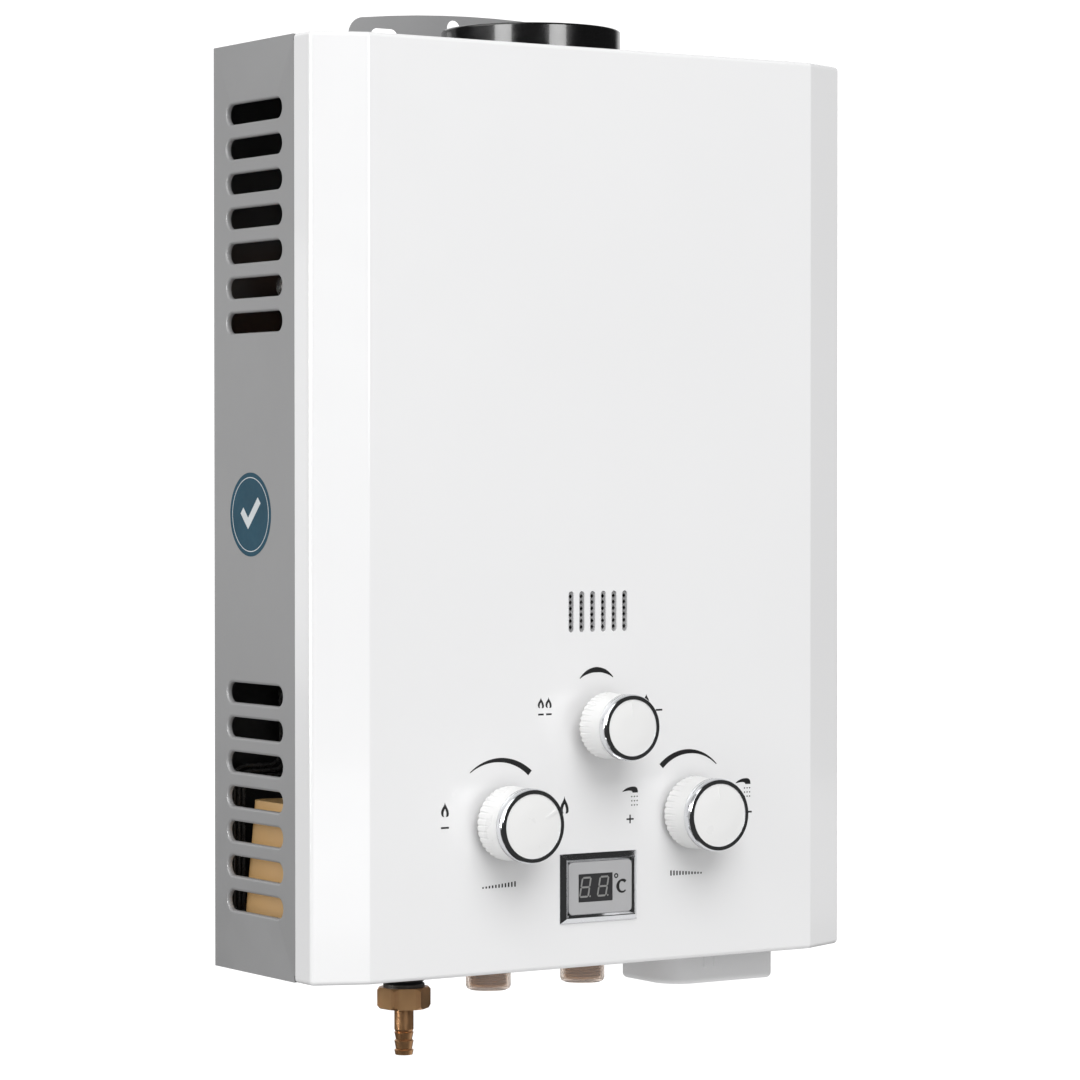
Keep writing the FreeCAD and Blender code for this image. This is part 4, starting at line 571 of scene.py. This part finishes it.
def ring_band(x, z, radius, first, last, widths, steps=40):
    """A band along a circle between two angles, its width eased along the given values."""
    outside = []
    inside = []
    for i in range(steps + 1):
        t = i / steps
        angle = first + (last - first) * t
        share = t * (len(widths) - 1)
        low = min(int(share), len(widths) - 2)
        width = widths[low] + (widths[low + 1] - widths[low]) * (share - low)
        for side, reach in ((outside, radius + width / 2), (inside, radius - width / 2)):
            side.append((x + reach * math.cos(angle), z + reach * math.sin(angle)))
    return outside + inside[::-1]


def tapered_arc(start, middle, end, widths):
    """A band along the upper arc through three points."""
    (x, z), radius = circle_through(start, middle, end)
    first = math.atan2(start[1] - z, start[0] - x)
    last = math.atan2(end[1] - z, end[0] - x)
    return ring_band(x, z, radius, first, last, widths)


def bezier_loop(knots, steps=10):
    """A closed outline through cubic pieces, each given as its start and two handles."""
    points = []
    for i, (p, q, r) in enumerate(knots):
        s = knots[(i + 1) % len(knots)][0]
        for step in range(steps):
            t = step / steps
            weights = ((1 - t) ** 3, 3 * t * (1 - t) ** 2, 3 * t * t * (1 - t), t ** 3)
            points.append(tuple(sum(w * k[axis] for w, k in zip(weights, (p, q, r, s))) for axis in (0, 1)))
    return points


def moved(points, x, z, wide, high):
    return [(x + u * wide, z + v * high) for u, v in points]


SHOWER_WIDTH = 9.4
SMALL_FLAME = (4.0, 5.8)
SIGN_HEIGHT = 1.0
LEVEL_WIDTH = 22.6
LEVEL_HEIGHT = 2.9
LEVEL_COUNT = 11
LEVEL_LOWEST = 0.25
LEVEL_BAR_SHARE = 0.45
# Widths along a scale's band
WIDENING = (0.5, 2.4, 3.4)
SWELLING = (0.4, 2.2, 3.0, 2.2, 0.4)
# Outlines of signs: the start and the two handles of each curve, in shares of the sign's size
FLAME_OUTSIDE = (
    ((0.0, 1.0), (0.06, 0.72), (0.5, 0.55)),
    ((0.5, 0.18), (0.5, -0.06), (0.2, -0.02)),
    ((0.12, 0.0), (0.24, 0.12), (0.2, 0.3)),
    ((0.02, 0.55), (-0.14, 0.42), (-0.3, 0.2)),
    ((-0.12, 0.0), (-0.34, -0.02), (-0.5, 0.1)),
    ((-0.5, 0.3), (-0.46, 0.62), (-0.1, 0.66)),
)


def flame(x, z, wide, high):
    return moved(bezier_loop(FLAME_OUTSIDE), x, z, wide, high)


def disc(x, z, radius, steps=16):
    return [(x + radius * math.cos(2 * math.pi * i / steps), z + radius * math.sin(2 * math.pi * i / steps))
            for i in range(steps)]


SHOWER_HEAD = (
    ((-0.62, 0.0), (-0.45, 0.28), (-0.1, 0.42)),
    ((0.2, 0.40), (0.42, 0.38), (0.5, 0.22)),
    ((0.5, -0.10), (0.38, -0.10), (0.24, -0.10)),
    ((0.12, -0.10), (0.1, 0.14), (-0.2, 0.12)),
)
# Shares of the shower sign's width
SHOWER_HEAD_HEIGHT = 0.72
DROP_START = (0.06, -0.30)
DROP_STEP = (0.19, -0.25)
DROP_RADIUS = 0.045


def shower(x, z):
    """A shower head over nine drops."""
    wide = SHOWER_WIDTH
    loops = [moved(bezier_loop(SHOWER_HEAD), x, z, wide, wide * SHOWER_HEAD_HEIGHT)]
    for row in range(3):
        for column in range(3):
            across = DROP_START[0] + DROP_STEP[0] * column
            down = DROP_START[1] + DROP_STEP[1] * row
            loops.append(disc(x + wide * across, z + wide * down, wide * DROP_RADIUS, 10))
    return loops


def plus_loop(x, z, long, thick):
    h, t = long / 2, thick / 2
    corners = ((-h, -t), (-t, -t), (-t, -h), (t, -h), (t, -t), (h, -t), (h, t), (t, t), (t, h), (-t, h),
               (-t, t), (-h, t))
    return [(x + u, z + v) for u, v in corners]


def level_bars(x, z, rising):
    """Short upright bars that grow to one side."""
    step = LEVEL_WIDTH / LEVEL_COUNT
    foot = z - LEVEL_HEIGHT / 2
    loops = []
    for i in range(LEVEL_COUNT):
        share = (i + 1) / LEVEL_COUNT if rising else (LEVEL_COUNT - i) / LEVEL_COUNT
        bar = LEVEL_HEIGHT * (LEVEL_LOWEST + (1 - LEVEL_LOWEST) * share)
        middle = x + step * (i + 0.5) - LEVEL_WIDTH / 2
        loops.append(box_loop(middle, foot + bar / 2, step * LEVEL_BAR_SHARE, bar))
    return loops


def add_prints(made):
    marks = {
        "gas_scale": [tapered_arc((-83.2, 110.1), (-64.0, 116.3), (-44.7, 108.5), WIDENING)],
        "season_scale": [tapered_arc((-12.0, 159.0), (-0.7, 163.6), (9.9, 159.2), SWELLING)],
        "water_scale": [tapered_arc((42.3, 108.6), (62.5, 116.2), (80.0, 108.4), WIDENING[::-1])],
        "low_flame": [flame(-99.1, 87.2, 4.9, 7.8)],
        "high_flame": [flame(-22.2, 85.4, 5.4, 9.4)],
        "double_flame": [flame(-37.6, 143.6, *SMALL_FLAME), flame(-32.6, 143.6, *SMALL_FLAME)],
        "single_flame": [flame(32.2, 143.4, *SMALL_FLAME)],
        "high_flow": shower(21.9, 95.4),
        "low_flow": shower(99.0, 96.8),
        "low_flame_sign": [box_loop(-99.1, 81.2, 5.0, SIGN_HEIGHT)],
        "two_burners_sign": [box_loop(x, 140.1, 3.6, SIGN_HEIGHT) for x in (-37.6, -32.4)],
        "one_burner_sign": [box_loop(40.8, 140.1, 4.4, SIGN_HEIGHT)],
        "high_flow_sign": [plus_loop(21.3, 80.2, 4.8, 0.9)],
        "low_flow_sign": [box_loop(102.8, 80.4, 3.6, SIGN_HEIGHT)],
        "gas_level": level_bars(-64.7, 48.5, True),
        "water_level": level_bars(59.2, 48.7, False),
    }
    for name, loops in marks.items():
        front_plate(name, loops, made["print_ink"], FRONT - PRINT_THICKNESS)


# Display

# Left, right, foot and head
WINDOW = (-14.4, 8.2, 36.1, 51.6)
WINDOW_CORNER = 0.4
PANEL_CORNER = 2.5
LENS_RECESS = 0.2 * MM
LENS_PLAY = 0.05
CORNER_STEPS = 3
DIGIT_LEAN = 0.186
DIGIT_STARTS = (-13.5, -1.8)
DIGIT_FOOT = 39.1
DIGIT_WIDTH = 5.5
DIGIT_HEIGHT = 10.4
DIGIT_STROKE = 1.0
# Share of the stroke that a bar stays short of each end
DIGIT_GAP = 0.12
POINT_RADIUS = 0.5
# From a digit's lower right corner
POINT_PLACE = (1.3, 0.1)
UNIT_PLACE = (14.6, 43.7)
UNIT_RADII = (3.0, 3.3)
UNIT_ANGLES = (44, 316)
# Shares of the letter's radius, from its upper end to its lower one
UNIT_STROKE = (0.56, 0.34, 0.70, 0.38, 0.24)
DEGREE_PLACE = (10.5, 49.6)
DEGREE_RADII = (1.4, 0.65)


def bar_loop(start, end, thick):
    """A bar with pointed ends, along a line or upright, short of both its ends."""
    (x0, z0), (x1, z1) = start, end
    long = math.hypot(x1 - x0, z1 - z0)
    ax, az = (x1 - x0) / long, (z1 - z0) / long
    half = thick / 2
    near = thick * DIGIT_GAP
    far = long - near
    along = ((near, 0), (near + half, half), (far - half, half), (far, 0), (far - half, -half),
             (near + half, -half))
    return [(x0 + ax * u - az * v, z0 + az * u + ax * v) for u, v in along]


def digit_loops(x):
    """Seven bars and a point, leaning to the right."""
    wide, high = DIGIT_WIDTH, DIGIT_HEIGHT
    level = [((0, z), (wide, z)) for z in (high, high / 2, 0)]
    upright = [((u, z), (u, z + high / 2)) for u in (0, wide) for z in (0, high / 2)]
    loops = [bar_loop(start, end, DIGIT_STROKE) for start, end in level + upright]
    loops.append(disc(wide + POINT_PLACE[0], POINT_PLACE[1], POINT_RADIUS, 12))
    return [[(x + u + DIGIT_LEAN * v, DIGIT_FOOT + v) for u, v in loop] for loop in loops]


def add_display(made):
    """The panel and its window where the photograph has them, the digits on it and the unit beside."""
    low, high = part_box("display_panel")
    foot = CASING_FOOT / MM
    outline = rounded_box(low.x / MM, high.x / MM, low.z / MM - foot, high.z / MM - foot, PANEL_CORNER)
    hole = rounded_box(*WINDOW, WINDOW_CORNER, CORNER_STEPS)
    depth = high.y - low.y
    panel = front_plate("panel", [outline, hole], made["panel_plastic"], low.y, depth)
    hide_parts("display_panel")
    left, right, lower, upper = WINDOW
    play = LENS_PLAY
    pane = rounded_box(left + play, right - play, lower + play, upper - play, WINDOW_CORNER, CORNER_STEPS)
    face = low.y + LENS_RECESS
    lens = front_plate("window", [pane], made["lens_plastic"], face, high.y - face)
    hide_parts("display_lens")
    digits = [loop for x in DIGIT_STARTS for loop in digit_loops(x)]
    front_plate("digits", digits, made["digit_grey"], face - PRINT_THICKNESS)
    first, last = (math.radians(angle) for angle in UNIT_ANGLES)
    letter = moved(ring_band(0, 0, 1, first, last, UNIT_STROKE), *UNIT_PLACE, *UNIT_RADII)
    ring = [disc(*DEGREE_PLACE, radius, 24) for radius in DEGREE_RADII]
    for name, loops in (("unit", [letter]), ("degree", ring)):
        front_plate(name, loops, made["black_plastic"], low.y - PRINT_THICKNESS)


# Round sticker on the left side

STICKER_FROM_WALL = 43.4
STICKER_HEIGHT = 249.4
STICKER_RADIUS = 22.8
STICKER_RING = (20.3, 19.85)
STICKER_THICKNESS = 0.08 * MM
TICK = ((-11.0, 0.5), (-7.8, 3.8), (-2.6, -1.8), (8.2, 9.4), (11.4, 6.2), (-2.6, -8.0))


def add_sticker(made):
    """A plain sticker: a disc, a thin ring and a tick."""
    middle = Vector((LEFT_SIDE, -STICKER_FROM_WALL * MM, place(0, 0, STICKER_HEIGHT).z))
    out = Vector((-1, 0, 0))
    film = [disc(0, 0, STICKER_RADIUS, 96)]
    centre = middle + out * STICKER_THICKNESS / 2
    flat_piece("sticker", film, made["sticker_film"], "casing", FACING_LEFT, centre, STICKER_THICKNESS)
    over = middle + out * (STICKER_THICKNESS + PRINT_THICKNESS / 2)
    rings = [disc(0, 0, radius, 96) for radius in STICKER_RING]
    for name, loops in (("sticker_ring", rings), ("sticker_tick", [list(TICK)])):
        flat_piece(name, loops, made["sticker_print"], "casing", FACING_LEFT, over)


# Pipe threads of the two water connections

THREAD_RADIUS = 10.48
THREAD_PITCH = 1.814
THREAD_DEPTH = 1.16
THREAD_LENGTH = 15.6
THREAD_CHAMFER = 1.0
STUB_BORE = 7.5
STUB_COLLAR = 13.48
STUB_COLLAR_FOOT = 0.8
STUB_COLLAR_HEAD = 6.8
STUB_NECK = 9.5
RING_STEPS = 96
STEPS_PER_TURN = 7


def thread_ring(z, foot):
    """Radius along one ring of a helical thread that fades in at its foot and out at its length."""
    radii = []
    share = min(1.0, (z - foot) / THREAD_PITCH, (foot + THREAD_LENGTH - z) / THREAD_PITCH)
    chamfer = max(0.0, THREAD_CHAMFER - (z - foot))
    for i in range(RING_STEPS):
        phase = z / THREAD_PITCH - i / RING_STEPS
        groove = 0.5 - 0.5 * math.cos(2 * math.pi * phase)
        radii.append(THREAD_RADIUS - chamfer - THREAD_DEPTH * groove * max(0.0, share))
    return radii


def ringed_mesh(name, rings):
    """A closed turned mesh from rings, each a height and its radii; the last ring joins the first."""
    points = []
    faces = []
    for z, radii in rings:
        for i, radius in enumerate(radii):
            angle = 2 * math.pi * i / RING_STEPS
            points.append((radius * MM * math.cos(angle), radius * MM * math.sin(angle), z * MM))
    for k in range(len(rings)):
        low = k * RING_STEPS
        high = ((k + 1) % len(rings)) * RING_STEPS
        for i in range(RING_STEPS):
            j = (i + 1) % RING_STEPS
            faces.append((low + i, low + j, high + j, high + i))
    mesh = bpy.data.meshes.new(name)
    mesh.from_pydata(points, [], faces)
    mesh.shade_smooth()
    mesh.set_sharp_from_angle(angle=math.radians(40))
    return mesh


def placed_mesh(name, mesh, material, turn, node, body):
    """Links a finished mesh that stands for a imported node."""
    mesh.materials.append(material)
    piece = bpy.data.objects.new(name, mesh)
    piece.matrix_world = turn
    bpy.context.scene.collection.objects.link(piece)
    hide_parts(node)
    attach(piece, body)
    return piece


def add_threads(made):
    """Threaded stubs that stand for the plain ones."""
    for node in ("cold_inlet", "hot_outlet"):
        low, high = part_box(node)
        foot = (low.z - CASING_FOOT) / MM
        top = (high.z - CASING_FOOT) / MM
        count = round(THREAD_LENGTH / THREAD_PITCH * STEPS_PER_TURN)
        rings = []
        for i in range(count + 1):
            z = foot + THREAD_LENGTH * i / count
            rings.append((z, thread_ring(z, foot)))
        above = ((STUB_COLLAR_FOOT, THREAD_RADIUS), (STUB_COLLAR_FOOT, STUB_COLLAR),
                 (STUB_COLLAR_HEAD, STUB_COLLAR), (STUB_COLLAR_HEAD, STUB_NECK), (top, STUB_NECK),
                 (top, STUB_BORE), (foot, STUB_BORE))
        rings += [(z, [radius] * RING_STEPS) for z, radius in above]
        mesh = ringed_mesh(node + "_threaded", rings)
        middle = (low + high) / 2
        turn = Matrix.Translation((middle.x, middle.y, CASING_FOOT))
        placed_mesh(node + "_threaded", mesh, made["cast_brass"], turn, node, "casing")


# Bright rims of the knobs and the display's frame

# Section of a knob's rim: distance behind its front face, or over its back, and inward from its outer radius
RIM_FRONT = ((0.8, 1.95), (0.45, 2.9), (0.12, 2.9), (0.0, 2.84), (0.0, 0.76), (0.06, 0.7), (1.6, 0.03),
             (1.75, 0.0))
RIM_BACK = ((0.3, 0.0), (0.0, 0.2), (0.0, 1.95))


def rim_profile(radius, length):
    """Height from the back and radius, once round the rim's section."""
    front = [(length - behind, radius - inward) for behind, inward in RIM_FRONT]
    return front + [(over, radius - inward) for over, inward in RIM_BACK]


def add_rims(made):
    for knob in ("gas_knob", "season_knob", "water_knob"):
        low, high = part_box(knob + "_ring")
        radius = (high.x - low.x) / 2 / MM
        length = (high.y - low.y) / MM
        rings = [(height, [reach] * RING_STEPS) for height, reach in rim_profile(radius, length)]
        mesh = ringed_mesh(knob + "_rim", rings)
        turn = Matrix.Translation(((low.x + high.x) / 2, high.y, (low.z + high.z) / 2)) @ FACING_FRONT
        placed_mesh(knob + "_rim", mesh, made["chrome"], turn, knob + "_ring", knob)


# The frame's section from its outer edge: distance inward and height over the casing's front
FRAME_SECTION = ((0.0, 0.0), (0.0, 0.5), (2.9, 3.2), (3.3, 3.2), (4.6, 2.0), (4.6, -7.0), (3.6, -7.0),
                 (3.6, 0.0))
FRAME_BEVEL = 0.12


def add_frame(made):
    """The display's frame with slopes on both sides of its crest."""
    low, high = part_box("display_bezel")
    middle = (low + high) / 2
    half_x = (high.x - low.x) / 2 / MM
    half_z = (high.z - low.z) / 2 / MM
    points = []
    for inward, height in FRAME_SECTION:
        x, y, z = (half_x - inward) * MM, -height * MM, (half_z - inward) * MM
        points += [(-x, y, -z), (x, y, -z), (x, y, z), (-x, y, z)]
    faces = []
    for k in range(len(FRAME_SECTION)):
        near = 4 * k
        far = 4 * ((k + 1) % len(FRAME_SECTION))
        for i in range(4):
            j = (i + 1) % 4
            faces.append((near + i, near + j, far + j, far + i))
    mesh = bpy.data.meshes.new("display_frame")
    mesh.from_pydata(points, [], faces)
    turn = Matrix.Translation((middle.x, FRONT, middle.z))
    piece = placed_mesh("display_frame", mesh, made["chrome"], turn, "display_bezel", "casing")
    bevel = piece.modifiers.new("edges", "BEVEL")
    bevel.width = FRAME_BEVEL * MM
    bevel.segments = 2
    bevel.limit_method = "ANGLE"


add_camera()
add_world()
add_lamps()
add_strips()
add_floor()
finishes = make_finishes()
dress_nodes(finishes)
add_prints(finishes)
add_display(finishes)
add_sticker(finishes)
add_threads(finishes)
add_rims(finishes)
add_frame(finishes)
bpy.context.scene.view_settings.view_transform = "Standard"
